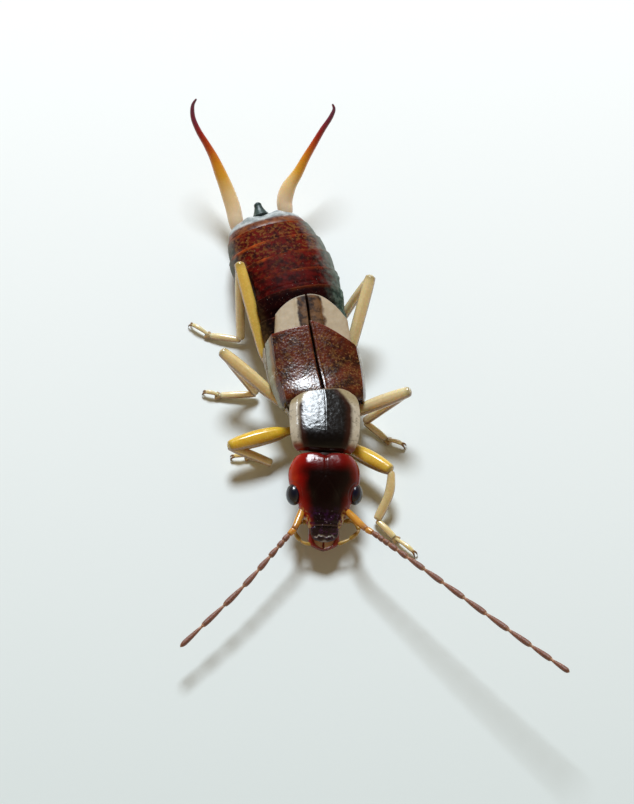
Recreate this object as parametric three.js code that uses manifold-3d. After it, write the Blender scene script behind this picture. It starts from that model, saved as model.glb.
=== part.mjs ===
// Common earwig, female, in a standing pose with the forceps raised.
// Millimetres, +Z up. The head looks along -Y, the forceps point along +Y.
// "right" and "left" are the animal's own sides: its right is towards -X.
import * as THREE from 'three';
import { mergeVertices } from 'three/addons/utils/BufferGeometryUtils.js';
import Module from 'manifold-3d';

const wasm = await Module();
wasm.setup();

// ---------------------------------------------------------------- sizes
const GAP = 0.02;              // clearance between neighbouring pieces
const ORIGIN = [1.581, 0.586, 0]; // middle of the footprint in the sketch frame below
const LIMB_R = 0.25;           // least radius of the legs and feelers
const FLAT = 0.0;              // level of the floor

// centre line of the body seen from above: y, x
const AXIS = [[-1.9, 0.165], [0.0, 0.165], [0.6, 0.09], [1.4, -0.08], [2.7, -0.32], [3.7, -0.54], [4.75, -0.84],
  [5.9, -1.22], [6.8, -1.52], [7.5, -1.74], [8.2, -1.95]];
// roll of the body, degrees, at y: the animal's right side is carried a little higher
const ROLL = [[-1.9, 6], [2.0, 6], [4.0, 4], [7.5, 1]];
const AXIS_Z = 1.2;

// head capsule: distance s forward of the neck, half width, height above and below the side line
const HEAD = {
  at: [0.215, -1.53, 1.46], pitch: 14, roll: 5, length: 2.26,
  half: [[0, 0.58], [0.05, 0.75], [0.12, 0.87], [0.28, 0.985], [0.46, 1.05], [0.66, 1.075], [0.9, 1.05], [1.12, 0.97],
    [1.33, 0.87], [1.56, 0.79], [1.72, 0.72], [1.9, 0.63], [2.1, 0.54], [2.3, 0.47]],
  up: [[0, 0.30], [0.12, 0.42], [0.3, 0.50], [0.7, 0.56], [1.1, 0.55], [1.5, 0.48], [1.9, 0.37], [2.3, 0.24]],
  down: [[0, 0.32], [0.12, 0.42], [0.3, 0.50], [0.7, 0.54], [1.1, 0.52], [1.5, 0.48], [1.9, 0.42], [2.3, 0.34]],
};
const EYE = { s: 1.24, x: 0.89, n: 0.07, rx: 0.25, rs: 0.305, rn: 0.30 };
const LABRUM = { from: 2.285, to: 2.66, half: 0.42 };
const MANDIBLE = { from: 2.29, to: 2.93, side: 0.40, deep: 0.17 };

// pronotum plate
const PRONOTUM = { front: -1.52, rear: 0.50, half: 1.075, thick: 0.28, top: 1.84, rise: 0.20, drop: 0.24 };
// fore wings (tegmina) and the tips of the folded hind wings
const TEGMEN = { front: 0.40, rear: 2.66, disc: 1.24, flare: 0.20, fall: 0.58, thick: 0.42, top: 2.02, rise: 0.20 };
const SCALE = { front: 2.5, rear: 3.80, half: 1.18, thick: 0.32 };

// trunk and abdomen stations: y, half width, side level, top, bottom
const TRUNK = [[-1.30, 0.52, 1.15, 1.50, 0.84], [-1.0, 0.80, 1.05, 1.53, 0.62], [-0.2, 0.94, 1.00, 1.60, 0.52], [0.5, 1.02, 0.94, 1.50, 0.48],
  [1.2, 1.28, 0.92, 1.52, 0.48], [2.2, 1.38, 0.94, 1.60, 0.50], [2.9, 1.34, 1.02, 1.66, 0.54]];
const ABDOMEN = [[2.75, 1.30, 1.06, 1.68, 0.56], [3.4, 1.40, 1.12, 1.78, 0.55], [3.72, 1.45, 1.14, 2.02, 0.545], [4.1, 1.50, 1.16, 2.14, 0.54], [4.75, 1.55, 1.14, 2.13, 0.53],
  [5.4, 1.56, 1.11, 2.05, 0.52], [6.05, 1.49, 1.07, 1.92, 0.53], [6.68, 1.33, 1.02, 1.74, 0.56], [7.2, 1.12, 0.98, 1.52, 0.60], [7.46, 0.96, 0.94, 1.32, 0.66]];
const TRUNK_CUTS = [-1.30, -0.02, 1.18, 2.72];
const RING_CUTS = [2.75, 3.42, 4.07, 4.70, 5.40, 6.05, 6.70, 7.44];

// forceps: centre line x, y, z and half thickness, base to tip
const FORCEPS = {
  right: [[-2.50, 7.36, 0.84, 0.25], [-2.56, 7.80, 1.03, 0.27], [-2.73, 8.39, 1.33, 0.235], [-2.96, 8.79, 1.57, 0.185], [-3.15, 9.19, 1.81, 0.15],
    [-3.38, 9.52, 2.02, 0.115], [-3.65, 9.94, 2.27, 0.10], [-3.82, 10.30, 2.48, 0.085], [-3.83, 10.62, 2.65, 0.07], [-3.73, 10.79, 2.75, 0.05]],
  left: [[-0.99, 7.76, 0.99, 0.25], [-1.01, 8.02, 1.12, 0.27], [-0.89, 8.39, 1.33, 0.235], [-0.62, 8.79, 1.57, 0.185], [-0.33, 9.18, 1.83, 0.15],
    [-0.10, 9.48, 2.02, 0.115], [0.21, 9.92, 2.30, 0.10], [0.44, 10.27, 2.52, 0.085], [0.53, 10.49, 2.63, 0.07], [0.48, 10.62, 2.71, 0.05]],
};

// legs: hip, end of the short trochanter, knee, ankle, middle of the foot, claws; femur radius
const LEGS = {
  fore_right: { hip: [-0.32, -0.42, 0.62], neck: [-0.72, -0.20, 0.76], knee: [-2.66, -0.86, 0.88], ankle: [-1.36, -1.03, 0.26], pad: [-2.04, -0.72], toe: [-2.62, -0.76], femur: 0.29 },
  fore_left: { hip: [0.42, -0.38, 0.58], neck: [0.72, -0.62, 0.62], knee: [2.22, -1.80, 1.02], ankle: [1.78, -3.02, 0.26], pad: [2.30, -3.58], toe: [2.94, -4.17], femur: 0.29 },
  mid_right: { hip: [-0.55, 0.70, 0.60], neck: [-0.98, 0.62, 0.82], knee: [-2.90, 2.00, 1.76], ankle: [-1.84, 1.46, 0.26], pad: [-2.96, 1.46], toe: [-3.50, 1.58], femur: 0.26 },
  mid_left: { hip: [0.38, 0.42, 0.58], neck: [0.80, 0.30, 0.72], knee: [2.80, 0.55, 1.76], ankle: [1.44, 0.46, 0.26], pad: [2.10, -0.13], toe: [2.68, -0.36], femur: 0.26 },
  hind_right: { hip: [-1.05, 2.12, 0.62], neck: [-1.58, 2.32, 0.80], knee: [-2.38, 5.00, 2.12], ankle: [-2.34, 3.44, 0.26], pad: [-3.30, 3.66], toe: [-3.94, 4.10], femur: 0.255 },
  hind_left: { hip: [0.42, 1.92, 0.60], neck: [0.88, 2.10, 0.70], knee: [1.64, 4.50, 2.14], ankle: [0.44, 3.62, 0.26], pad: [0.58, 4.45], toe: [0.74, 5.02], femur: 0.255 },
};

// feelers: end of the scape, end of the pedicel, a few places along the whip, and the length of each bead;
// the animal's right feeler has lost its last joints and is the shorter
const ANTENNA = {
  right: { scape: [-0.69, -3.94, 1.19], pedicel: [-0.83, -4.12, 1.19], via: [[-2.13, -5.80, 1.10]], tip: [-3.95, -7.78, 1.00],
    beads: [0.26, 0.25, 0.40, 0.55, 0.68, 0.85, 0.92, 0.92] },
  left: { scape: [1.47, -4.11, 1.47], pedicel: [1.64, -4.25, 1.52], via: [[3.60, -6.18, 1.99], [5.45, -7.98, 2.37]], tip: [7.12, -9.54, 2.70],
    beads: [0.24, 0.20, 0.22, 0.34, 0.42, 0.69, 0.76, 0.85, 0.87, 0.88, 0.86, 0.78, 0.67] },
};
const PALP = {
  right: [[-0.10, -3.30, 0.62], [-0.56, -3.48, 0.74], [-0.64, -3.80, 0.78], [-0.44, -4.08, 0.72], [-0.17, -4.14, 0.66]],
  left: [[0.62, -3.30, 0.60], [1.10, -3.42, 0.74], [1.22, -3.74, 0.78], [0.94, -4.00, 0.72], [0.62, -4.13, 0.66]],
};

// ---------------------------------------------------------------- helpers
const V = (a) => new THREE.Vector3(a[0], a[1], a[2]);
const rad = (d) => d * Math.PI / 180;
const lerp = (a, b, t) => a + (b - a) * t;

// smooth value through the rows [t, v]
function along(rows, t, k = 1) {
  const n = rows.length;
  if (t <= rows[0][0]) return rows[0][k];
  if (t >= rows[n - 1][0]) return rows[n - 1][k];
  let i = 0;
  while (t > rows[i + 1][0]) i++;
  const slope = (j) => {
    const a = rows[Math.max(j - 1, 0)], b = rows[Math.min(j + 1, n - 1)];
    return (b[k] - a[k]) / (b[0] - a[0]);
  };
  const h = rows[i + 1][0] - rows[i][0], u = (t - rows[i][0]) / h;
  const m0 = slope(i) * h, m1 = slope(i + 1) * h;
  return (2 * u ** 3 - 3 * u ** 2 + 1) * rows[i][k] + (u ** 3 - 2 * u ** 2 + u) * m0
    + (-2 * u ** 3 + 3 * u ** 2) * rows[i + 1][k] + (u ** 3 - u ** 2) * m1;
}

// closed mesh with shared corners and its faces pointing out
function closed(g) {
  g.deleteAttribute('normal');
  g.deleteAttribute('uv');
  g = mergeVertices(g, 1e-5);
  const p = g.attributes.position, ix = g.index.array;
  const keep = [];
  let vol = 0;
  const a = new THREE.Vector3(), b = new THREE.Vector3(), c = new THREE.Vector3();
  for (let i = 0; i < ix.length; i += 3) {
    const [i0, i1, i2] = [ix[i], ix[i + 1], ix[i + 2]];
    if (i0 === i1 || i1 === i2 || i2 === i0) continue;
    a.fromBufferAttribute(p, i0); b.fromBufferAttribute(p, i1); c.fromBufferAttribute(p, i2);
    vol += a.dot(b.clone().cross(c));
    keep.push(i0, i1, i2);
  }
  if (vol < 0) for (let i = 0; i < keep.length; i += 3) [keep[i + 1], keep[i + 2]] = [keep[i + 2], keep[i + 1]];
  g.setIndex(keep);
  g.clearGroups();
  return g;
}

// a cylinder whose rings are laid out by place(t, c, s): t along, c and s the cosine and sine round
function loft(sides, steps, place, turn = 0) {
  const g = new THREE.CylinderGeometry(1, 1, 1, sides, steps);
  const p = g.attributes.position;
  for (let i = 0; i < p.count; i++) {
    const x = p.getX(i), z = p.getZ(i), t = 0.5 - p.getY(i);
    const a = Math.atan2(z, x) + turn;
    const rim = Math.hypot(x, z) > 0.5;
    const q = place(t, rim ? Math.cos(a) : 0, rim ? Math.sin(a) : 0);
    p.setXYZ(i, q.x, q.y, q.z);
  }
  return closed(g);
}

// a flat box whose top and bottom are laid out by place(u, v, w): w = 0 on top, 1 below
function plate(nu, nv, place) {
  const g = new THREE.BoxGeometry(1, 1, 1, nu, 1, nv);
  const p = g.attributes.position;
  for (let i = 0; i < p.count; i++) {
    const q = place(p.getX(i) + 0.5, p.getZ(i) + 0.5, 0.5 - p.getY(i));
    p.setXYZ(i, q.x, q.y, q.z);
  }
  return closed(g);
}

function ball(sides, steps, place) {
  const g = new THREE.SphereGeometry(1, sides, steps);
  const p = g.attributes.position;
  for (let i = 0; i < p.count; i++) {
    const q = place(p.getX(i), p.getY(i), p.getZ(i));
    p.setXYZ(i, q.x, q.y, q.z);
  }
  return closed(g);
}

// the same mesh with every corner moved out by d
function swell(g, d) {
  const k = g.clone();
  k.computeVertexNormals();
  const p = k.attributes.position, n = k.attributes.normal;
  for (let i = 0; i < p.count; i++) p.setXYZ(i, p.getX(i) + n.getX(i) * d, p.getY(i) + n.getY(i) * d, p.getZ(i) + n.getZ(i) * d);
  k.deleteAttribute('normal');
  return k;
}

function solid(g) {
  return new wasm.Manifold(new wasm.Mesh({
    numProp: 3, vertProperties: new Float32Array(g.attributes.position.array), triVerts: new Uint32Array(g.index.array),
  }));
}

function mesh(m) {
  const k = m.getMesh();
  const g = new THREE.BufferGeometry();
  g.setAttribute('position', new THREE.BufferAttribute(new Float32Array(k.vertProperties), 3));
  g.setIndex([...k.triVerts]);
  return g;
}

// draws the ends of very short edges together, so that a cut leaves no slivers
function tidy(g, least = 0.012) {
  const p = g.attributes.position, ix = g.index.array, root = [...Array(p.count).keys()];
  const find = (i) => { while (root[i] !== i) i = root[i]; return i; };
  for (let i = 0; i < ix.length; i++) {
    const a = ix[i], b = ix[i % 3 === 2 ? i - 2 : i + 1];
    if (Math.hypot(p.getX(a) - p.getX(b), p.getY(a) - p.getY(b), p.getZ(a) - p.getZ(b)) < least) root[find(b)] = find(a);
  }
  const faces = new Map();
  for (let i = 0; i < ix.length; i += 3) {
    const f = [find(ix[i]), find(ix[i + 1]), find(ix[i + 2])];
    if (f[0] === f[1] || f[1] === f[2] || f[2] === f[0]) continue;
    const key = [...f].sort((m, n) => m - n).join();
    if (faces.has(key)) faces.delete(key); else faces.set(key, f);
  }
  g.setIndex([...faces.values()].flat());
  return closed(g);
}

// g less the cutters, each swollen by the gap; the largest piece is kept
function carve(g, cutters, gap = GAP) {
  let m = solid(g);
  for (const c of cutters) {
    const k = solid(swell(c, gap));
    if (m.intersect(k).volume() > 1e-9) m = m.subtract(k);
  }
  const bits = m.decompose().sort((a, b) => b.volume() - a.volume());
  return tidy(mesh(bits[0]));
}

const FLOOR = (() => {
  const g = new THREE.BoxGeometry(60, 60, 4);
  g.translate(0, 0, FLAT - 2);
  return closed(g);
})();
const onFloor = (g) => tidy(mesh(solid(g).subtract(solid(FLOOR))));

// body frame at y: point p to the left, q above AXIS_Z, with the yaw and roll of the body
function bodyPoint(y, p, q) {
  const x = along(AXIS, y), m = (along(AXIS, y + 0.05) - along(AXIS, y - 0.05)) / 0.1;
  const L = Math.hypot(1, m), r = rad(along(ROLL, y));
  const lx = 1 / L, ly = -m / L, c = Math.cos(r), s = Math.sin(r);
  return new THREE.Vector3(x + lx * (p * c + q * s), y + ly * (p * c + q * s), AXIS_Z + q * c - p * s);
}

// point on the ring of the trunk or abdomen at y
function ringPoint(rows, y, c, s, size = 1) {
  const w = along(rows, y, 1), zs = along(rows, y, 2), zt = along(rows, y, 3), zb = along(rows, y, 4);
  if (c === 0 && s === 0) return bodyPoint(y, 0, (zt + zb) / 2 - AXIS_Z);
  const cc = Math.sign(c) * Math.abs(c) ** 0.9, ss = Math.sign(s) * Math.abs(s) ** (s > 0 ? 0.95 : 0.8);
  return bodyPoint(y, w * cc * size, zs - AXIS_Z + ss * (s > 0 ? zt - zs : zs - zb) * size);
}

// head frame: x to the left, s forward, n up from the side line
function headPoint(x, s, n) {
  const t = rad(HEAD.pitch), r = rad(HEAD.roll);
  const X = x * Math.cos(r) + n * Math.sin(r), N = n * Math.cos(r) - x * Math.sin(r);
  return new THREE.Vector3(HEAD.at[0] + X, HEAD.at[1] - Math.cos(t) * s - Math.sin(t) * N, HEAD.at[2] - Math.sin(t) * s + Math.cos(t) * N);
}

// round limb from one end to the other, radii at each end and in the middle, with rounded ends
function limb(points, radius, sides, steps, flat = 1) {
  const path = points.length > 2 ? new THREE.CatmullRomCurve3(points.map(V), false, 'centripetal') : new THREE.LineCurve3(V(points[0]), V(points[1]));
  const up = new THREE.Vector3(0, 0, 1);
  return loft(sides, steps, (t, c, s) => {
    const at = path.getPointAt(t), d = path.getTangentAt(t).normalize();
    const side = new THREE.Vector3().crossVectors(d, up).normalize();
    const top = new THREE.Vector3().crossVectors(side, d).normalize();
    const r = radius(t);
    return at.addScaledVector(side, c * r).addScaledVector(top, s * r * flat);
  }, Math.PI / sides);
}
const bulge = (r0, r1, r2) => (t) => {
  const end = Math.min(1, Math.sqrt(Math.max(0, Math.min(t, 1 - t)) / 0.06) * 0.35 + 0.65);
  return (t < 0.45 ? lerp(r0, r1, Math.sin(Math.PI / 2 * t / 0.45)) : lerp(r2, r1, Math.cos(Math.PI / 2 * (t - 0.45) / 0.55))) * end;
};

// ---------------------------------------------------------------- finishes
const finish = (color, roughness, metalness = 0) => new THREE.MeshStandardMaterial({ color, roughness, metalness });
const LOOK = {
  head: [0x5e0d0a, 0.18], eye: [0x0c0e1c, 0.15], mouth: [0x6b1710, 0.25], palp: [0xb88a3a, 0.35], scape: [0xb06c14, 0.3], whip: [0x6e4028, 0.5],
  pronotum: [0x0d0b0e, 0.18], trunk: [0x7c6a50, 0.5], tegmen: [0x38160e, 0.35], scale: [0xc9b394, 0.4], ring: [0x350a0b, 0.28], last: [0x33383b, 0.3],
  forceps: [0xa8602c, 0.25], leg: [0xc6a050, 0.35],
};
const part = new THREE.Group();
function add(name, look, g) {
  const m = new THREE.Mesh(g, finish(...LOOK[look]));
  m.name = name;
  part.add(m);
  return g;
}
const SIDES = { right: -1, left: 1 };

// ---------------------------------------------------------------- legs
const legs = {};
for (const [name, L] of Object.entries(LEGS)) {
  const coxa = limb([L.hip, L.neck], (t) => lerp(0.30, 0.25, t) * (t === 0 ? 0.7 : t === 1 ? 0.75 : 1), 7, 2);
  let femur = limb([L.neck, L.knee], bulge(0.20, L.femur, 0.22), 8, 5);
  const heel = [L.ankle[0], L.ankle[1], L.ankle[2] + 0.02];
  let tibia = limb([L.knee, heel], bulge(0.24, LIMB_R, LIMB_R), 8, 3);
  const foot = [[L.ankle[0], L.ankle[1], 0.205], [L.pad[0], L.pad[1], 0.205], [L.toe[0], L.toe[1], 0.205]];
  let tarsus = onFloor(limb(foot, bulge(LIMB_R, LIMB_R, 0.245), 7, 4));
  femur = carve(femur, [coxa]);
  tibia = carve(tibia, [femur]);
  tarsus = carve(tarsus, [tibia, femur]);
  legs[name] = { coxa, femur, tibia, tarsus };
  add(`leg_${name}_coxa`, 'leg', coxa);
  add(`leg_${name}_femur`, 'leg', femur);
  add(`leg_${name}_tibia`, 'leg', tibia);
  add(`leg_${name}_tarsus`, 'leg', tarsus);
}
const legSolids = Object.values(legs).flatMap((l) => [l.coxa, l.femur, l.tibia, l.tarsus]);

// ---------------------------------------------------------------- wings and pronotum
function tegmenPoint(side, u, v, w) {
  const T = TEGMEN, sg = SIDES[side];
  const wide = lerp(0.80, 1, Math.min(1, Math.sin(Math.min(v / 0.5, 1) * Math.PI / 2))) * (1 - 0.05 * v * v);
  const k = 0.70, e = Math.max(0, (u - k) / (1 - k));
  const disc = T.disc + (side === 'left' ? 0.10 : 0);
  const p = (0.012 + (disc - 0.012) * Math.min(u / k, 1) + T.flare * e) * wide;
  const drop = 0.17 * Math.min(u / k, 1) ** 2.2 + T.fall * e * (0.75 + 0.25 * e) * (v > 0.5 ? 1 - 0.25 * (v - 0.5) : 1);
  const slant = side === 'left' ? 0.95 : 0.10, reach = side === 'left' ? 0.16 : 0;
  const y = T.front + (T.rear + reach - T.front - slant * Math.min(1, p / 1.3) ** 1.3 * v) * v + (v < 0.2 ? 0.25 * (0.2 - v) * u : 0);
  const top = T.top + T.rise * v - AXIS_Z - drop;
  const inward = T.thick * w;
  return bodyPoint(y, sg * (p - (e > 0 ? inward * 0.9 * e : 0)), top - inward * (1 - 0.62 * e));
}
const tegmina = {};
for (const side of ['right', 'left']) {
  tegmina[side] = add(`tegmen_${side}`, 'tegmen', plate(7, 6, (u, v, w) => tegmenPoint(side, u, v, w)));
}
function pronotumPoint(u, v, w) {
  const P = PRONOTUM, a = 2 * u - 1;
  const half = P.half * along([[0, 0.86], [0.06, 0.93], [0.2, 0.97], [0.55, 1], [0.8, 0.97], [0.93, 0.86], [1, 0.74]], v);
  const y = P.front + (P.rear - P.front) * v - (v > 0.5 ? (v - 0.5) * 0.36 * Math.abs(a) ** 3 : (0.5 - v) * -0.10 * Math.abs(a) ** 2);
  const top = P.top + P.rise * Math.min(1, v * 1.6) * (v > 0.7 ? 1 - 0.25 * (v - 0.7) / 0.3 : 1) - P.drop * Math.abs(a) ** 2.2 - AXIS_Z;
  return bodyPoint(y, half * a * (1 - 0.05 * w), top - w * P.thick * (1 - 0.35 * Math.abs(a) ** 3));
}
const pronotum = add('pronotum', 'pronotum', carve(plate(9, 6, pronotumPoint), [tegmina.right, tegmina.left]));

function scalePoint(side, u, v, w) {
  const S = SCALE, sg = SIDES[side];
  const p = 0.012 + (S.half - 0.012) * u * (1 - 0.10 * v);
  const y = S.front + (S.rear - S.front) * v * (1 - (side === 'left' ? 0.75 : 0.36) * u ** 2.3) - (side === 'left' ? 0.7 : 0.3) * u ** 2 * (1 - v);
  const top = 2.12 - 0.13 * u ** 2 - 0.02 * v * v - AXIS_Z;
  return bodyPoint(y, sg * p + 0.17 * v, top - w * S.thick);
}
const scales = {};
for (const side of ['right', 'left']) {
  scales[side] = add(`wing_${side}`, 'scale', carve(plate(5, 4, (u, v, w) => scalePoint(side, u, v, w)), [tegmina.right, tegmina.left]));
}
const covers = [pronotum, tegmina.right, tegmina.left, scales.right, scales.left];

// ---------------------------------------------------------------- trunk
const trunkNames = ['prothorax', 'mesothorax', 'metathorax'];
for (let i = 0; i < 3; i++) {
  const a = TRUNK_CUTS[i], b = TRUNK_CUTS[i + 1] - GAP;
  const g = loft(16, 2, (t, c, s) => ringPoint(TRUNK, lerp(a, b, t), c, s));
  add(trunkNames[i], 'trunk', carve(g, [...covers, ...legSolids]));
}

// ---------------------------------------------------------------- abdomen
const bristleEnd = RING_CUTS.length - 2;
for (let i = 0; i <= bristleEnd; i++) {
  const a = RING_CUTS[i] + GAP / 2, b = RING_CUTS[i + 1] - GAP / 2;
  const last = i === bristleEnd;
  const g = loft(20, last ? 4 : 2, (t, c, s) => {
    const round = last ? Math.sqrt(1 - 0.45 * Math.max(0, (t - 0.55) / 0.45) ** 2.4) : 1;
    return ringPoint(ABDOMEN, lerp(a, b, t), c, s, (0.975 + 0.025 * Math.min(1, t * 1.6)) * round);
  });
  add(last ? 'abdomen_last_ring' : `abdomen_ring_${i + 1}`, last ? 'last' : 'ring', carve(g, [...covers, ...legSolids]));
}

// pygidium, the short peg between the forceps
add('pygidium', 'last', loft(8, 4, (t, c, s) => {
  const y = lerp(7.475, 7.92, t), r = along([[0, 0.30], [0.35, 0.20], [0.7, 0.13], [1, 0.10]], t);
  return bodyPoint(y, r * c, 1.02 - AXIS_Z + 0.16 * t + r * 0.8 * s);
}));

// ---------------------------------------------------------------- forceps
for (const side of ['right', 'left']) {
  const rows = FORCEPS[side];
  const path = new THREE.CatmullRomCurve3(rows.map(V), false, 'centripetal');
  const table = rows.map((r, i) => [i / (rows.length - 1), r[3]]);
  const up = new THREE.Vector3(0, 0, 1);
  const g = loft(9, 13, (t, c, s) => {
    const at = path.getPoint(t), d = path.getTangent(t).normalize();
    const across = new THREE.Vector3().crossVectors(d, up).normalize();
    const top = new THREE.Vector3().crossVectors(across, d).normalize();
    const r = along(table, t);
    return at.addScaledVector(across, c * r).addScaledVector(top, s * r * lerp(0.85, 1, t));
  });
  add(`forceps_${side}`, 'forceps', g);
}

// ---------------------------------------------------------------- head
const eyes = {}, scapes = {}, jaws = {}, palps = {};
for (const side of ['right', 'left']) {
  const sg = SIDES[side];
  eyes[side] = add(`eye_${side}`, 'eye', ball(11, 8, (x, y, z) => headPoint(sg * EYE.x + x * EYE.rx, EYE.s + y * EYE.rs, EYE.n + z * EYE.rn)));

  const A = ANTENNA[side];
  const root = headPoint(sg * 0.74, 1.80, 0.02);
  scapes[side] = add(`antenna_${side}_scape`, 'scape', limb([root.toArray(), A.scape, A.pedicel], bulge(0.17, LIMB_R, 0.22), 8, 5));
  const whip = new THREE.CatmullRomCurve3([V(A.pedicel), ...A.via.map(V), V(A.tip)], false, 'centripetal');
  const total = A.beads.reduce((a, b) => a + b, 0), stops = [0];
  for (const b of A.beads) stops.push(stops[stops.length - 1] + b / total / 2, stops[stops.length - 1] + b / total);
  const up = new THREE.Vector3(0, 0, 1), rings = A.beads.length * 2;
  add(`antenna_${side}_flagellum`, 'whip', carve(loft(6, rings, (t, c, s) => {
    const k = Math.round(t * rings), at = whip.getPointAt(Math.min(stops[k], 1)), d = whip.getTangentAt(Math.min(stops[k], 1)).normalize();
    const across = new THREE.Vector3().crossVectors(d, up).normalize();
    const top = new THREE.Vector3().crossVectors(across, d).normalize();
    const r = k % 2 ? LIMB_R : LIMB_R * (k === rings ? 0.6 : 0.82);
    return at.addScaledVector(across, c * r).addScaledVector(top, s * r);
  }, Math.PI / 6), [scapes[side]]));

  palps[side] = add(`palp_${side}`, 'palp', limb(PALP[side], bulge(0.15, 0.17, 0.13), 6, 7));
  const M = MANDIBLE;
  jaws[side] = add(`mandible_${side}`, 'mouth', loft(8, 5, (t, c, s) => {
    const m = lerp(M.from, M.to, t);
    const mid = along([[0, 0.25], [0.55, 0.22], [1, 0.065]], t), half = along([[0, 0.20], [0.55, 0.175], [1, 0.045]], t);
    return headPoint(sg * (mid + c * half), m, -0.20 + 0.02 * t + s * M.deep * (1 - 0.35 * t));
  }));
}

const labrum = add('labrum', 'mouth', loft(16, 4, (t, c, s) => {
  const L = LABRUM, m = lerp(L.from, L.to, t);
  const half = L.half * along([[0, 1], [0.5, 0.95], [0.85, 0.78], [1, 0.55]], t);
  return headPoint(c * half, m, lerp(0.10, -0.0, t) + s * lerp(0.105, 0.05, t));
}));

const capsule = loft(20, 11, (t, c, s) => {
  const m = HEAD.length * (t < 0.5 ? 2 * t * t * (1.5 - t) + 0.0 : 1 - 2 * (1 - t) * (1 - t) * (0.5 + t)) * 0.35 + HEAD.length * t * 0.65;
  const w = along(HEAD.half, m), hu = along(HEAD.up, m), hd = along(HEAD.down, m);
  return headPoint(Math.sign(c) * Math.abs(c) ** 0.92 * w, m, Math.sign(s) * Math.abs(s) ** 0.95 * (s > 0 ? hu : hd));
});
add('head', 'head', carve(capsule, [eyes.right, eyes.left, scapes.right, scapes.left, jaws.right, jaws.left, palps.right, palps.left, labrum]));

// neck membrane between the head and the prothorax
add('neck', 'trunk', loft(12, 1, (t, c, s) => (t < 0.5 ? headPoint(c * 0.44, -GAP, s * 0.24 - 0.03)
  : bodyPoint(TRUNK[0][0] - GAP, c * 0.42, 1.18 - AXIS_Z + s * 0.28))));

part.position.set(-ORIGIN[0], -ORIGIN[1], -ORIGIN[2]);
part.updateMatrixWorld(true);

export default part;
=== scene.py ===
import math

import bpy
import numpy as np
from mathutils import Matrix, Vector


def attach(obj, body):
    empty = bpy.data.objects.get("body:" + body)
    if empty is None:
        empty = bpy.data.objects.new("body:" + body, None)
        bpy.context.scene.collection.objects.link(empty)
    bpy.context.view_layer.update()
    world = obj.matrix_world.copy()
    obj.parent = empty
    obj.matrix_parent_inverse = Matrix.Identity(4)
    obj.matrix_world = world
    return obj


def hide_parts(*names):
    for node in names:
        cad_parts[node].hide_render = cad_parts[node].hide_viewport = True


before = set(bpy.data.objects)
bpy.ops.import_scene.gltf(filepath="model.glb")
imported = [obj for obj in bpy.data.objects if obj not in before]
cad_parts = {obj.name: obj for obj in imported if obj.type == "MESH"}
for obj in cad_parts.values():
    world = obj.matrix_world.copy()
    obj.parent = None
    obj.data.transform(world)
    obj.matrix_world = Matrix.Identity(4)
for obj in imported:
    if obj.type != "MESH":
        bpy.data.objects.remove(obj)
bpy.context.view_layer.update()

# ------------------------------------------------------------------ sizes, millimetres, as in the solids
ORIGIN = np.array([1.581, 0.586, 0.0])
AXIS_Z = 1.2
AXIS = [[-1.9, .165], [0, .165], [.6, .09], [1.4, -.08], [2.7, -.32], [3.7, -.54], [4.75, -.84], [5.9, -1.22], [6.8, -1.52],
        [7.5, -1.74], [8.2, -1.95]]
ROLL = [[-1.9, 6], [2, 6], [4, 4], [7.5, 1]]
HEAD_AT, HEAD_PITCH, HEAD_ROLL, HEAD_LONG = np.array([.215, -1.53, 1.46]), math.radians(14), math.radians(5), 2.26
HEAD_HALF = [[0, .58], [.05, .75], [.12, .87], [.28, .985], [.46, 1.05], [.66, 1.075], [.9, 1.05], [1.12, .97], [1.33, .87],
             [1.56, .79], [1.72, .72], [1.9, .63], [2.1, .54], [2.3, .47]]
HEAD_UP = [[0, .30], [.12, .42], [.3, .50], [.7, .56], [1.1, .55], [1.5, .48], [1.9, .37], [2.3, .24]]
HEAD_DOWN = [[0, .32], [.12, .42], [.3, .50], [.7, .54], [1.1, .52], [1.5, .48], [1.9, .42], [2.3, .34]]
TRUNK = [[-1.30, .52, 1.15, 1.50, .84], [-1.0, .80, 1.05, 1.53, .62], [-.2, .94, 1.00, 1.60, .52], [.5, 1.02, .94, 1.50, .48],
         [1.2, 1.28, .92, 1.52, .48], [2.2, 1.38, .94, 1.60, .50], [2.9, 1.34, 1.02, 1.66, .54]]
ABDOMEN = [[2.75, 1.30, 1.06, 1.68, .56], [3.4, 1.40, 1.12, 1.78, .55], [3.72, 1.45, 1.14, 2.02, .545], [4.1, 1.50, 1.16, 2.14, .54],
           [4.75, 1.55, 1.14, 2.13, .53], [5.4, 1.56, 1.11, 2.05, .52], [6.05, 1.49, 1.07, 1.92, .53], [6.68, 1.33, 1.02, 1.74, .56],
           [7.2, 1.12, .98, 1.52, .60], [7.46, .96, .94, 1.32, .66]]
RING_CUTS = [2.75, 3.42, 4.07, 4.70, 5.40, 6.05, 6.70, 7.44]
FORCEPS = {
    "right": [[-2.50, 7.36, .84, .25], [-2.56, 7.80, 1.03, .27], [-2.73, 8.39, 1.33, .235], [-2.96, 8.79, 1.57, .185],
              [-3.15, 9.19, 1.81, .15], [-3.38, 9.52, 2.02, .115], [-3.65, 9.94, 2.27, .10], [-3.82, 10.30, 2.48, .085],
              [-3.83, 10.62, 2.65, .07], [-3.73, 10.79, 2.75, .05]],
    "left": [[-.99, 7.76, .99, .25], [-1.01, 8.02, 1.12, .27], [-.89, 8.39, 1.33, .235], [-.62, 8.79, 1.57, .185],
             [-.33, 9.18, 1.83, .15], [-.10, 9.48, 2.02, .115], [.21, 9.92, 2.30, .10], [.44, 10.27, 2.52, .085],
             [.53, 10.49, 2.63, .07], [.48, 10.62, 2.71, .05]],
}
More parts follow.
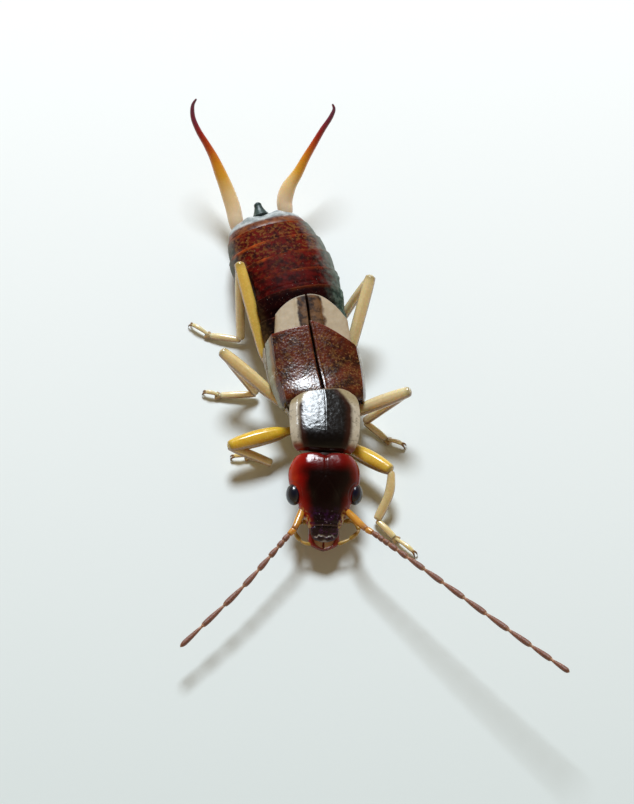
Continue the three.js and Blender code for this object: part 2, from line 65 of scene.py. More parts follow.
LEGS = {
    "fore_right": dict(hip=(-.32, -.42, .62), neck=(-.72, -.20, .76), knee=(-2.66, -.86, .88), ankle=(-1.36, -1.03, .26), pad=(-2.04, -.72), toe=(-2.62, -.76), femur=.27),
    "fore_left": dict(hip=(.42, -.38, .58), neck=(.72, -.62, .62), knee=(2.22, -1.80, 1.02), ankle=(1.78, -3.02, .26), pad=(2.30, -3.58), toe=(2.94, -4.17), femur=.265),
    "mid_right": dict(hip=(-.55, .70, .60), neck=(-.98, .62, .82), knee=(-2.90, 2.00, 1.76), ankle=(-1.84, 1.46, .26), pad=(-2.96, 1.46), toe=(-3.50, 1.58), femur=.215),
    "mid_left": dict(hip=(.38, .42, .58), neck=(.80, .30, .72), knee=(2.80, .55, 1.76), ankle=(1.44, .46, .26), pad=(2.10, -.13), toe=(2.68, -.36), femur=.215),
    "hind_right": dict(hip=(-1.05, 2.12, .62), neck=(-1.58, 2.32, .80), knee=(-2.38, 5.00, 2.12), ankle=(-2.34, 3.44, .26), pad=(-3.30, 3.66), toe=(-3.94, 4.10), femur=.195),
    "hind_left": dict(hip=(.42, 1.92, .60), neck=(.88, 2.10, .70), knee=(1.64, 4.50, 2.14), ankle=(.44, 3.62, .26), pad=(.58, 4.45), toe=(.74, 5.02), femur=.195),
}
ANTENNA = {
    "right": dict(scape=(-.69, -3.94, 1.19), pedicel=(-.83, -4.12, 1.19), via=[(-2.13, -5.80, 1.10)], tip=(-3.95, -7.78, 1.00),
                  beads=[.26, .25, .40, .55, .68, .85, .92, .92]),
    "left": dict(scape=(1.47, -4.11, 1.47), pedicel=(1.64, -4.25, 1.52), via=[(3.60, -6.18, 1.99), (5.45, -7.98, 2.37)], tip=(7.12, -9.54, 2.70),
                 beads=[.24, .20, .22, .34, .42, .69, .76, .85, .87, .88, .86, .78, .67]),
}
PALP = {
    "right": [(-.10, -3.30, .62), (-.56, -3.48, .74), (-.64, -3.80, .78), (-.44, -4.08, .72), (-.17, -4.14, .66)],
    "left": [(.62, -3.30, .60), (1.10, -3.42, .74), (1.22, -3.74, .78), (.94, -4.00, .72), (.62, -4.13, .66)],
}
SIDES = {"right": -1, "left": 1}


# ------------------------------------------------------------------ shape functions
def along(rows, t, k=1):
    r = np.asarray(rows, float)
    x, y = r[:, 0], r[:, k]
    t = np.clip(np.asarray(t, float), x[0], x[-1])
    i = np.clip(np.searchsorted(x, t, side="right") - 1, 0, len(x) - 2)
    lo, hi = np.maximum(np.arange(len(x)) - 1, 0), np.minimum(np.arange(len(x)) + 1, len(x) - 1)
    m = (y[hi] - y[lo]) / (x[hi] - x[lo])
    h = x[i + 1] - x[i]
    u = (t - x[i]) / h
    return ((2 * u**3 - 3 * u**2 + 1) * y[i] + (u**3 - 2 * u**2 + u) * m[i] * h
            + (-2 * u**3 + 3 * u**2) * y[i + 1] + (u**3 - u**2) * m[i + 1] * h)


def lerp(a, b, t):
    return a + (b - a) * t


def smooth(a, b, t):
    t = np.clip((t - a) / (b - a), 0, 1)
    return t * t * (3 - 2 * t)


def stack(x, y, z):
    return np.stack(np.broadcast_arrays(x, y, z), -1)


def body_point(y, p, q):
    m = (along(AXIS, y + .05) - along(AXIS, y - .05)) / .1
    L, r = np.hypot(1, m), np.radians(along(ROLL, y))
    c, s = np.cos(r), np.sin(r)
    d = p * c + q * s
    return stack(along(AXIS, y) + d / L, y - m / L * d, AXIS_Z + q * c - p * s)


def ring_point(rows, y, c, s, size=1.0):
    w, zs, zt, zb = (along(rows, y, k) for k in (1, 2, 3, 4))
    cc = np.sign(c) * np.abs(c) ** .9
    ss = np.sign(s) * np.abs(s) ** np.where(s > 0, .95, .8)
    return body_point(y, w * cc * size, zs - AXIS_Z + ss * np.where(s > 0, zt - zs, zs - zb) * size)


def head_point(x, s, n):
    X = x * math.cos(HEAD_ROLL) + n * math.sin(HEAD_ROLL)
    N = n * math.cos(HEAD_ROLL) - x * math.sin(HEAD_ROLL)
    ct, st = math.cos(HEAD_PITCH), math.sin(HEAD_PITCH)
    return stack(HEAD_AT[0] + X, HEAD_AT[1] - ct * s - st * N, HEAD_AT[2] - st * s + ct * N)


def lattice(q, seed):
    i = np.floor(q).astype(np.int64)
    f = q - i
    f = f * f * (3 - 2 * f)
    out = 0.0
    for dx in (0, 1):
        for dy in (0, 1):
            for dz in (0, 1):
                h = ((i[..., 0] + dx) * 73856093) ^ ((i[..., 1] + dy) * 19349663) ^ ((i[..., 2] + dz) * 83492791) ^ (seed * 2654435)
                h = h & 0xFFFFFFFF
                h = ((h ^ (h >> 13)) * 1274126177) & 0xFFFFFFFF
                h = (h ^ (h >> 16)) & 0xFFFFFF
                w = (f[..., 0] if dx else 1 - f[..., 0]) * (f[..., 1] if dy else 1 - f[..., 1]) * (f[..., 2] if dz else 1 - f[..., 2])
                out = out + w * h / 0xFFFFFF
    return out


def rough(P, size, seed, octaves=3):
    """soft random relief, -1 to 1, whose widest lumps are about size across"""
    v, a, total = 0.0, 1.0, 0.0
    for k in range(octaves):
        v = v + a * (2 * lattice(P / size * 2**k + 7.3 * k, seed + k) - 1)
        total += a
        a *= .55
    return v / total


def normals(G, wrap=False):
    du = np.roll(G, -1, 1) - np.roll(G, 1, 1) if wrap else np.gradient(G, axis=1)
    n = np.cross(du, np.gradient(G, axis=0))
    return n / np.maximum(np.linalg.norm(n, axis=-1, keepdims=True), 1e-12)


# ------------------------------------------------------------------ meshes
def build(name, verts, quads, tris, attrs, mat, nodes, uv=None):
    """verts in sketch millimetres; faces are turned to point outward"""
    V = (np.asarray(verts, float) - ORIGIN) * .001
    quads, tris = np.asarray(quads, int).reshape(-1, 4), np.asarray(tris, int).reshape(-1, 3)
    T = np.concatenate([quads[:, [0, 1, 2]], quads[:, [0, 2, 3]], tris])
    c = V - V.mean(0)
    if np.einsum("ij,ij->i", c[T[:, 0]], np.cross(c[T[:, 1]], c[T[:, 2]])).sum() < 0:
        quads, tris = quads[:, ::-1], tris[:, ::-1]
    me = bpy.data.meshes.new(name)
    loops = np.concatenate([quads.ravel(), tris.ravel()])
    sizes = np.concatenate([np.full(len(quads), 4), np.full(len(tris), 3)])
    me.vertices.add(len(V))
    me.vertices.foreach_set("co", V.astype(np.float32).ravel())
    me.loops.add(len(loops))
    me.loops.foreach_set("vertex_index", loops.astype(np.int32))
    me.polygons.add(len(sizes))
    me.polygons.foreach_set("loop_start", np.concatenate([[0], np.cumsum(sizes)[:-1]]).astype(np.int32))
    me.polygons.foreach_set("use_smooth", np.ones(len(sizes), bool))
    me.update(calc_edges=True)
    for key, value in attrs.items():
        a = me.attributes.new(key, "FLOAT", "POINT")
        a.data.foreach_set("value", np.broadcast_to(value, (len(V),)).astype(np.float32))
    if uv is not None:
        layer = me.uv_layers.new(name="OFBake")
        layer.data.foreach_set("uv", uv[loops].astype(np.float32).ravel())
    me.materials.append(mat)
    ob = bpy.data.objects.new(name, me)
    bpy.context.scene.collection.objects.link(ob)
    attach(ob, "root")
    if nodes:
        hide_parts(*nodes)
    return ob


class Bag:
    """several closed forms joined into one mesh"""

    def __init__(self):
        self.v, self.q, self.t, self.a, self.n = [], [], [], {}, 0

    def add(self, verts, quads, tris, attrs):
        verts = np.asarray(verts, float).reshape(-1, 3)
        self.v.append(verts)
        if len(quads):
            self.q.append(np.asarray(quads, int) + self.n)
        if len(tris):
            self.t.append(np.asarray(tris, int) + self.n)
        for key, value in attrs.items():
            self.a.setdefault(key, []).append(np.broadcast_to(value, (len(verts),)))
        self.n += len(verts)

    def build(self, name, mat, slot, nodes):
        q = np.concatenate(self.q) if self.q else np.zeros((0, 4), int)
        t = np.concatenate(self.t) if self.t else np.zeros((0, 3), int)
        return build(name, np.concatenate(self.v), q, t, {k: np.concatenate(x) for k, x in self.a.items()}, mat, nodes)


def outward(verts, quads, tris):
    T = np.concatenate([quads[:, [0, 1, 2]], quads[:, [0, 2, 3]], tris])
    c = verts - verts.mean(0)
    if np.einsum("ij,ij->i", c[T[:, 0]], np.cross(c[T[:, 1]], c[T[:, 2]])).sum() < 0:
        quads, tris = quads[:, ::-1], tris[:, ::-1]
    return quads, tris


def tube(bag, G, attrs):
    """G is rings x sides x 3, closed round each ring, with a pole at each end; attrs are rings x sides"""
    nr, ns = G.shape[:2]
    i, j = np.meshgrid(np.arange(nr - 1), np.arange(ns), indexing="ij")
    k = (j + 1) % ns
    quads = np.stack([i * ns + j, i * ns + k, (i + 1) * ns + k, (i + 1) * ns + j], -1).reshape(-1, 4)
    a, b, e = np.arange(ns), (np.arange(ns) + 1) % ns, nr * ns
    tris = np.concatenate([np.stack([b, a, np.full(ns, e)], -1),
                           np.stack([(nr - 1) * ns + a, (nr - 1) * ns + b, np.full(ns, e + 1)], -1)])
    verts = np.concatenate([G.reshape(-1, 3), [G[0].mean(0), G[-1].mean(0)]])
    quads, tris = outward(verts, quads, tris)
    bag.add(verts, quads, tris, {key: np.concatenate([np.broadcast_to(x, (nr, ns)).ravel(), [np.mean(np.broadcast_to(x, (nr, ns))[0]), np.mean(np.broadcast_to(x, (nr, ns))[-1])]])
                                 for key, x in attrs.items()})


def shell(bag, f, nu, nv, deep=1.0, rim=(.05, .05, .05), relief=None, extra=0.0, dense=.55):
    """a closed plate: f(u, v, w) with w = 0 outside; its edge is rounded and its two faces share their border"""
    def spread(n):
        x = np.linspace(0, 1, n)
        return lerp(x, (1 - np.cos(np.pi * x)) / 2, dense)
    U, V = np.meshgrid(spread(nu), spread(nv))
    d = np.clip(np.minimum.reduce([U / rim[0], (1 - U) / rim[0], V / rim[1], (1 - V) / rim[-1]]), 0, 1)
    e = .5 * (1 - np.sqrt(np.maximum(0, 1 - (1 - d) ** 2)))
    D = deep(U, V) if callable(deep) else deep
    top, low = f(U, V, D * e), f(U, V, D * (1 - e))
    if relief is not None:
        n = normals(top)
        n *= np.sign(np.sum(n * (f(U, V, 0 * U) - f(U, V, 0 * U + 1)), -1).sum())
        top = top + n * (relief(U, V, top) * smooth(0, 1, d))[..., None]
    N = nu * nv
    inner = np.arange(N).reshape(nv, nu) + N
    border = np.zeros((nv, nu), bool)
    border[[0, -1], :] = True
    border[:, [0, -1]] = True
    own = np.arange(N).reshape(nv, nu)
    inner[border] = own[border]
    remap = -np.ones(2 * N, int)
    used = np.unique(np.concatenate([own.ravel(), inner.ravel()]))
    remap[used] = np.arange(len(used))
    A = np.stack([own[:-1, :-1], own[:-1, 1:], own[1:, 1:], own[1:, :-1]], -1).reshape(-1, 4)
    B = np.stack([inner[:-1, :-1], inner[1:, :-1], inner[1:, 1:], inner[:-1, 1:]], -1).reshape(-1, 4)
    P = np.concatenate([top.reshape(-1, 3), low.reshape(-1, 3)])[used]
    quads = remap[np.concatenate([A, B])]
    quads, tris = outward(P, quads, np.zeros((0, 3), int))
    uu, vv = np.tile(U.ravel(), 2)[used], np.tile(V.ravel(), 2)[used]
    side = np.concatenate([np.zeros(N), np.ones(N)])[used]
    bag.add(P, quads, tris, {"u": uu, "v": vv, "under": side, "part": np.full(len(P), float(extra))})
    return U, V, top


def curve(points, n, k=3):
    """centripetal curve through the points, n places evenly apart; columns past the third are not used"""
    p = np.asarray(points, float)
    xyz = p[:, :3]
    dense = []
    for i in range(len(p) - 1):
        p1, p2 = xyz[i], xyz[i + 1]
        p0 = xyz[i - 1] if i else 2 * p1 - p2
        p3 = xyz[i + 2] if i + 2 < len(p) else 2 * p2 - p1
        d0, d1, d2 = (max(np.linalg.norm(a - b) ** .5, 1e-6) for a, b in ((p1, p0), (p2, p1), (p3, p2)))
        t1 = ((p1 - p0) / d0 - (p2 - p0) / (d0 + d1) + (p2 - p1) / d1) * d1
        t2 = ((p2 - p1) / d1 - (p3 - p1) / (d1 + d2) + (p3 - p2) / d2) * d1
        u = np.linspace(0, 1, 60, endpoint=i == len(p) - 2)[:, None]
        c = p1 + t1 * u + (-3 * p1 + 3 * p2 - 2 * t1 - t2) * u**2 + (2 * p1 - 2 * p2 + t1 + t2) * u**3
        dense.append(np.concatenate([c, np.full((len(c), 1), i) + u], 1))
    d = np.concatenate(dense)
    s = np.concatenate([[0], np.cumsum(np.linalg.norm(np.diff(d[:, :3], axis=0), axis=1))])
    at = np.interp(np.linspace(0, s[-1], n) if np.isscalar(n) else np.asarray(n) * s[-1], s, np.arange(len(s)))
    out = np.stack([np.interp(at, np.arange(len(s)), d[:, c]) for c in range(3)], -1)
    index = np.interp(at, np.arange(len(s)), d[:, 3])
    return out, index, s[-1]


def frames(path, up=(0, 0, 1)):
    d = np.gradient(path, axis=0)
    size = np.linalg.norm(d, axis=1)
    good = np.flatnonzero(size > 1e-9)  # a doubled point takes its neighbour's direction
    d = d[good[np.abs(np.arange(len(d))[:, None] - good[None]).argmin(1)]]
    d /= np.linalg.norm(d, axis=1, keepdims=True)
    side = np.cross(d, np.array(up, float))
    side /= np.linalg.norm(side, axis=1, keepdims=True)
    return d, side, np.cross(side, d)


def ends(t, cap):
    """1 along a limb, closing to a round end over the share cap at each end"""
    a = np.clip(np.minimum(t, 1 - t) / cap, 0, 1)
    return np.sqrt(np.maximum(1 - (1 - a) ** 2, 0))


def stations(n, cap=.06):
    """places along a limb, closer together near its ends"""
    x = np.linspace(0, 1, n)
    return lerp(x, (1 - np.cos(np.pi * x)) / 2, .6)


def limb(bag, path, ra, rb, sides=40, relief=None, part=0.0, up=(0, 0, 1), lift=None):
    """a round or oval limb; ra is its half width to the side and rb upwards"""
    n = len(path)
    t = np.concatenate([[0], np.cumsum(np.linalg.norm(np.diff(path, axis=0), axis=1))])
    t /= t[-1]
    d, side, top = frames(path, up)
    th = np.arange(sides) / sides * 2 * np.pi
    c, s = np.cos(th)[None], np.sin(th)[None]
    ra, rb = np.broadcast_to(ra, (n,))[:, None], np.broadcast_to(rb, (n,))[:, None]
    more = 0 if relief is None else relief(t[:, None] + 0 * c, th[None] + 0 * ra)
    G = path[:, None] + side[:, None] * ((ra + more) * c)[..., None] + top[:, None] * ((rb + more) * s)[..., None]
    if lift is not None:
        G[..., 2] = np.maximum(G[..., 2], lift)
    tube(bag, G, {"u": np.broadcast_to(s, G.shape[:2]), "v": np.broadcast_to(t[:, None], G.shape[:2]),
                  "ring": np.broadcast_to(c, G.shape[:2]), "part": np.full(G.shape[:2], float(part))})
    return G


# ------------------------------------------------------------------ materials
class Nodes:
    def __init__(self, name, **sockets):
        self.mat = bpy.data.materials.new(name)
        self.mat.use_nodes = True
        self.nt = self.mat.node_tree
        self.bsdf = self.nt.nodes["Principled BSDF"]
        for key, value in sockets.items():
            self.bsdf.inputs[key.replace("_", " ")].default_value = value

    def new(self, kind, **props):
        n = self.nt.nodes.new(kind)
        for k, v in props.items():
            setattr(n, k, v)
        return n

    def put(self, socket, value):
        if isinstance(value, bpy.types.NodeSocket):
            self.nt.links.new(value, socket)
        else:
            if isinstance(value, tuple) and len(value) == 3 and socket.type == "RGBA":
                value = (*value, 1)
            socket.default_value = value

    def attr(self, key):
        return self.new("ShaderNodeAttribute", attribute_name=key, attribute_type="GEOMETRY").outputs["Fac"]

    def here(self):
        return self.new("ShaderNodeTexCoord").outputs["Object"]

    def math(self, op, a, b=0.0, c=0.0, clamp=False):
        n = self.new("ShaderNodeMath", operation=op, use_clamp=clamp)
        self.put(n.inputs[0], a)
        self.put(n.inputs[1], b)
        self.put(n.inputs[2], c)
        return n.outputs[0]

    def noise(self, scale, detail=3.0, rough=.55, distortion=0.0, stretch=None):
        n = self.new("ShaderNodeTexNoise")
        v = self.here()
        if stretch:
            m = self.new("ShaderNodeMapping")
            m.inputs["Scale"].default_value = stretch
            self.put(m.inputs["Vector"], v)
            v = m.outputs[0]
        self.put(n.inputs["Vector"], v)
        self.put(n.inputs["Scale"], scale)
        self.put(n.inputs["Detail"], detail)
        self.put(n.inputs["Roughness"], rough)
        self.put(n.inputs["Distortion"], distortion)
        return n.outputs["Fac"]

    def cells(self, scale, feature="F1", randomness=1.0):
        n = self.new("ShaderNodeTexVoronoi", feature=feature)
        self.put(n.inputs["Vector"], self.here())
        self.put(n.inputs["Scale"], scale)
        self.put(n.inputs["Randomness"], randomness)
        return n.outputs["Distance"]

    def ramp(self, fac, *stops, mode="LINEAR"):
        n = self.new("ShaderNodeValToRGB")
        n.color_ramp.interpolation = mode
        while len(n.color_ramp.elements) < len(stops):
            n.color_ramp.elements.new(1)
        for e, (at, col) in zip(n.color_ramp.elements, stops):
            e.position = at
        for e, (at, col) in zip(n.color_ramp.elements, stops):
            e.color = (col, col, col, 1) if np.isscalar(col) else (*col, 1)
        self.put(n.inputs[0], fac)
        return n.outputs[0]

    def range(self, fac, a, b, c=0.0, d=1.0, soft=True):
        n = self.new("ShaderNodeMapRange", interpolation_type="SMOOTHSTEP" if soft else "LINEAR")
        for i, v in enumerate((fac, a, b, c, d)):
            self.put(n.inputs[i], v)
        return n.outputs[0]

    def mix(self, fac, a, b, mode="MIX"):
        n = self.new("ShaderNodeMix", data_type="RGBA", blend_type=mode)
        self.put(n.inputs[0], fac)
        self.put(n.inputs[6], a)
        self.put(n.inputs[7], b)
        return n.outputs[2]

    def bump(self, *layers):
        """layers: (height, distance in metres)"""
        last = None
        for height, dist in layers:
            n = self.new("ShaderNodeBump")
            n.inputs["Strength"].default_value = 1.0
            n.inputs["Distance"].default_value = dist
            self.put(n.inputs["Height"], height)
            if last is not None:
                self.put(n.inputs["Normal"], last)
            last = n.outputs[0]
        self.put(self.bsdf.inputs["Normal"], last)

    def colour(self, c):
        self.put(self.bsdf.inputs["Base Color"], c)

    def roughness(self, r):
        self.put(self.bsdf.inputs["Roughness"], r)


M = {}


def glossy(name, sss=0.0, radius=(.0003, .0001, .00005), coat=0.0, coat_rough=.1, ior=1.55):
    n = Nodes(name, IOR=ior)
    b = n.bsdf.inputs
    b["Subsurface Weight"].default_value = sss
    b["Subsurface Radius"].default_value = radius
    b["Subsurface Scale"].default_value = 1.0
    b["Coat Weight"].default_value = coat
    b["Coat Roughness"].default_value = coat_rough
    M[name] = n
    return n


def materials():
    # head: deep red capsule, nearly black over the brow and towards the lip, amber at the temples
    n = glossy("head", sss=.04, coat=.06, coat_rough=.18, ior=1.35)
    u, v, x = n.attr("u"), n.attr("v"), n.attr("ring")
    spot = n.noise(1100, 2)
    ax = n.math("ABSOLUTE", x)
    mask = n.math("ADD", n.math("ABSOLUTE", n.math("SUBTRACT", x, .06)), n.math("MULTIPLY_ADD", spot, .36, -.18))
    mask = n.math("ADD", mask, n.math("MULTIPLY_ADD", n.noise(2900, 3), .20, -.10))
    dark = n.math("MULTIPLY", n.range(mask, 1.06, .48), n.range(v, .10, .32))
    low = n.range(v, .66, .86)
    dark = n.math("MAXIMUM", dark, n.math("MULTIPLY", low, n.range(mask, 1.04, .62)))
    red = n.ramp(mask, (0, (.10, .0005, .0006)), (.5, (.20, .0006, .0006)), (.86, (.34, .0016, .0006)), (1, (.43, .026, .004)))
    # painted shade: the capsule's half at positive x is mixed up to half way towards a darker red, the side turned away
    # from the lamp
    red = n.mix(n.math("MULTIPLY", n.range(x, .1, .85), .50), red, (.10, .0006, .0005))
    col = n.mix(dark, red, n.mix(low, (.0050, .0006, .0006), (.0095, .0014, .0040)))
    plum = n.math("MULTIPLY", n.range(v, .74, .86), n.range(n.noise(6500, 3), .46, .60))
    col = n.mix(n.math("MULTIPLY", plum, .55), col, (.050, .010, .060))
    # painted highlight: small pale specks over the face plate stand in for glints of the lamp
    col = n.mix(n.math("MULTIPLY", n.range(v, .78, .88), n.range(n.noise(13000, 2), .66, .72)), col, (.34, .29, .36))
    cheek = n.math("MULTIPLY", n.range(ax, .72, .92), n.range(v, .72, .84))
    col = n.mix(n.math("MULTIPLY", cheek, n.range(n.noise(7500, 3), .44, .58)), col, (.60, .40, .13))
    col = n.mix(n.math("MULTIPLY", n.range(u, -.1, -.7), .75), col, (.17, .045, .014))
    col = n.mix(n.math("MULTIPLY", n.attr("pale"), .9), col, (.42, .26, .14))
    n.colour(n.mix(.35, col, n.mix(n.noise(9000, 4), (.55, .5, .5), (1, 1, 1)), "MULTIPLY"))
    n.roughness(n.range(n.noise(14000, 3), .25, .8, .13, .21))
    n.bump((n.noise(26000, 3), .7e-6), (n.noise(3500, 2), 2.6e-6))

    # eyes: small facets under a gloss
    n = glossy("eye", coat=.7, coat_rough=.20, ior=1.40)
    n.colour(n.ramp(n.noise(1800, 2), (.3, (.0012, .0012, .014)), (.7, (.003, .006, .016))))
    n.roughness(.16)
    n.bump((n.cells(46000, randomness=.12), 2.2e-6))

    # mouthparts
    n = glossy("mouth", sss=.15, coat=.2)
    col = n.ramp(n.attr("v"), (0, (.010, .0016, .0045)), (.30, (.018, .003, .008)), (.40, (.16, .010, .006)), (.80, (.26, .014, .009)), (1, (.09, .008, .006)))
    col = n.mix(n.math("MULTIPLY", n.range(n.noise(8000, 3), .50, .62), n.range(n.attr("v"), .32, .28)), col, (.050, .010, .055))
    # the jaws' pale inner faces are partly their own paler colour and partly painted light: near-white cream standing
    # in for lit floor seen between the jaws and lifting the lip's shade
    n.colour(n.mix(n.math("MULTIPLY", n.attr("pale"), .9), col, n.mix(n.range(n.attr("v"), .3, .36), (.78, .72, .68), (1.0, .72, .48))))
    n.roughness(n.range(n.noise(16000, 3), .3, .8, .16, .34))
    n.bump((n.noise(22000, 3), 2.5e-6))

    n = glossy("palp", sss=.35, radius=(.00025, .00013, .00004))
    n.colour(n.mix(n.range(n.noise(7000, 3), .3, .8), (.30, .18, .025), (.50, .35, .085)))
    n.roughness(.3)
    n.bump((n.noise(30000, 3), 2e-6))

    # feelers
    n = glossy("antenna_base", sss=.3, radius=(.0003, .00012, .00003), coat=.2)
    n.colour(n.ramp(n.attr("v"), (0, (.30, .10, .03)), (.15, (.55, .25, .03)), (.72, (.58, .27, .035)), (1, (.30, .11, .03))))
    n.roughness(n.range(n.noise(12000, 3), .3, .8, .18, .32))
    n.bump((n.noise(26000, 3), 2e-6))
    n = glossy("antenna", sss=.12, radius=(.0002, .0001, .00005))
    bead = n.attr("u")
    col = n.ramp(bead, (0, (.42, .24, .13)), (.16, (.19, .075, .040)), (.7, (.15, .055, .034)), (.93, (.17, .07, .04)), (1, (.40, .24, .14)))
    n.colour(n.mix(n.range(n.noise(15000, 4), .35, .75), col, n.mix(1.0, col, (1.7, 1.5, 1.4), "MULTIPLY")))
    n.roughness(n.range(n.noise(30000, 3), .3, .8, .34, .55))
    n.bump((n.cells(60000), 5e-6))

    # pronotum: black disc in clear pale margins
    n = glossy("pronotum", coat=.0, ior=1.44)
    u, v = n.attr("u"), n.attr("v")
    a = n.math("ABSOLUTE", n.math("MULTIPLY_ADD", u, 2.0, -1.0))
    wob = n.math("MULTIPLY_ADD", n.noise(2400, 3), .14, -.07)
    corner = n.math("MULTIPLY", n.range(v, .66, 1.0), .30)
    rim = n.math("ADD", n.math("ADD", a, wob), corner)
    edge = n.range(rim, .68, .84)
    back = n.range(n.math("ADD", v, wob), .955, 1.0)
    pale = n.mix(n.noise(6000, 3), (.40, .33, .23), (.60, .54, .44))
    pale = n.mix(n.math("MULTIPLY", n.range(n.noise(11000, 3), .52, .66), .55), pale, (.13, .11, .085))
    pale = n.mix(n.math("MULTIPLY", n.range(corner, .02, .20), .7), pale, (.27, .20, .085))
    pale = n.mix(n.range(v, .11, .03), pale, (.22, .035, .012))
    disc = n.mix(n.noise(5000, 3), (.0010, .0008, .0012), (.0040, .0020, .0020))
    disc = n.mix(n.range(rim, .48, .72), disc, (.028, .0060, .0030))
    col = n.mix(edge, disc, pale)
    col = n.mix(n.math("MULTIPLY", back, .8), col, (.36, .27, .17))
    n.colour(col)
    n.roughness(n.range(n.noise(9000, 4), .25, .75, .16, .27))
    n.bump((n.noise(30000, 2, .5), 1.1e-6), (n.noise(13000, 2, .5), 2.8e-6), (n.cells(8500), 3.6e-6), (n.noise(3400, 2, .5), 7.5e-6))

    # thorax and the skin between the plates
    n = glossy("skin", sss=.25, radius=(.0003, .00015, .00008))
    col = n.ramp(n.noise(4200, 4), (.25, (.10, .082, .055)), (.6, (.24, .21, .15)), (.85, (.36, .33, .26)))
    n.colour(n.mix(n.attr("dark"), col, (.035, .010, .008)))
    n.roughness(n.range(n.noise(9000, 3), .3, .8, .32, .55))
    n.bump((n.noise(13000, 4, .6, stretch=(.6, 2.4, 1)), 1.4e-5))
    n = glossy("plate", sss=.1, coat=.15)
    n.colour(n.mix(n.noise(5200, 4), (.17, .13, .085), (.38, .31, .21)))
    n.roughness(n.range(n.noise(12000, 3), .3, .8, .24, .42))
    n.bump((n.noise(20000, 3), 4e-6))

    # wing cases: grained chestnut, with a pale strip where they fold down at the side
    n = glossy("tegmen", sss=.02, coat=.0, ior=1.49)
    u, v = n.attr("u"), n.attr("v")
    wob = n.math("MULTIPLY_ADD", n.noise(3000, 3), .10, -.05)
    uu = n.math("ADD", u, wob)
    grain = n.noise(16000, 4, .65)
    chestnut = n.mix(n.range(n.noise(2600, 3), .30, .72), (.017, .0022, .0012), (.105, .013, .0028))
    mid = n.math("MULTIPLY", n.range(u, .95, .55), n.range(v, .98, .72))
    chestnut = n.mix(n.math("MULTIPLY", n.range(n.noise(7500, 4, .65), .50, .66), n.math("MULTIPLY", mid, .55)), chestnut, (.17, .085, .022))
    chestnut = n.mix(n.range(grain, .54, .70), chestnut, (.27, .125, .038))
    chestnut = n.mix(n.range(v, .92, 1.0), chestnut, (.15, .022, .006))
    strip = n.mix(n.noise(5200, 4), (.19, .20, .15), (.42, .42, .34))
    strip = n.mix(n.range(n.noise(12000, 4), .5, .75), strip, (.13, .14, .10))
    strip = n.mix(n.range(uu, .90, .80), strip, n.mix(n.noise(9000, 3), (.16, .075, .020), (.34, .20, .075)))
    bound = n.math("MULTIPLY_ADD", n.range(v, .0, .60), -.14, .90)
    off = n.math("SUBTRACT", uu, bound)
    col = n.mix(n.range(off, -.035, .035), chestnut, strip)
    col = n.mix(n.range(u, .035, .0), col, (.012, .004, .003))
    n.colour(col)
    n.roughness(n.range(n.noise(11000, 3), .25, .8, .15, .30))
    n.bump((n.noise(32000, 2, .5), .7e-6), (n.noise(15000, 2, .5), 2.7e-6), (n.cells(13000), 3.7e-6))

    # tips of the hind wings
    n = glossy("wing", sss=.10, radius=(.0003, .0002, .0001))
    n.bsdf.inputs["Specular IOR Level"].default_value = .05
    u, v = n.attr("u"), n.attr("v")
    wob = n.math("MULTIPLY_ADD", n.noise(2600, 4), .26, -.13)
    uu = n.math("ADD", u, wob)
    cream = n.mix(n.noise(5200, 4), (.34, .26, .17), (.52, .43, .31))
    brown = n.mix(n.range(n.noise(4600, 4), .36, .66), (.016, .005, .002), (.135, .062, .022))
    inner = n.math("SUBTRACT", uu, n.math("MULTIPLY", n.attr("part"), .12))
    col = n.mix(n.range(inner, .23, .31), brown, cream)
    col = n.mix(n.range(uu, .90, .99), col, (.34, .25, .16))
    col = n.mix(n.range(v, .94, 1.0), col, (.42, .36, .29))
    col = n.mix(n.range(u, .04, .0), col, (.008, .004, .003))
    n.colour(col)
    n.roughness(n.range(n.noise(9000, 3), .3, .8, .40, .55))
    n.bump((n.noise(11000, 4), 6e-6), (n.noise(4000, 2, stretch=(1, .25, 1)), 1.2e-5))

    # abdomen: dark maroon rings with orange-red hind borders
    n = glossy("abdomen", sss=.03, ior=1.40)
    n.bsdf.inputs["Specular IOR Level"].default_value = .055
    u, v, place = n.attr("u"), n.attr("v"), n.attr("part")
    wob = n.math("MULTIPLY_ADD", n.noise(4200, 4), .22, -.11)
    band = n.math("MULTIPLY", n.range(n.math("ADD", v, wob), .80, .97), n.range(place, .3, 3.2, .15, 1.0))
    band = n.math("MULTIPLY", band, n.range(n.noise(1500, 3, stretch=(1, .3, 1)), .42, .68, .05, 1.0))
    # painted light: the orange-red borders are drawn fully on the high-u side, towards the lamp, and fade to about a
    # third on the low-u side
    band = n.math("MULTIPLY", band, n.range(u, .20, .62, .35, 1.0))
    base = n.mix(n.range(n.noise(4600, 4), .32, .68), (.016, .0008, .0010), (.105, .0026, .0012))
    base = n.mix(n.range(place, 2.6, .6), base, (.0050, .0010, .0014))
    base = n.mix(n.math("MULTIPLY", n.range(n.noise(15000, 2), .60, .70), .5), base, (.10, .035, .020))
    # painted highlight: tiny pale grey specks stand in for glints on the plates
    base = n.mix(n.range(n.noise(26000, 1), .76, .80), base, (.42, .40, .36))
    base = n.mix(n.math("MULTIPLY", n.range(place, 2.2, 4.8), n.range(n.noise(8500, 4, .6), .48, .64)), base, (.155, .055, .012))
    col = n.mix(band, base, n.mix(n.noise(2600, 2), (.32, .020, .003), (.46, .115, .013)))
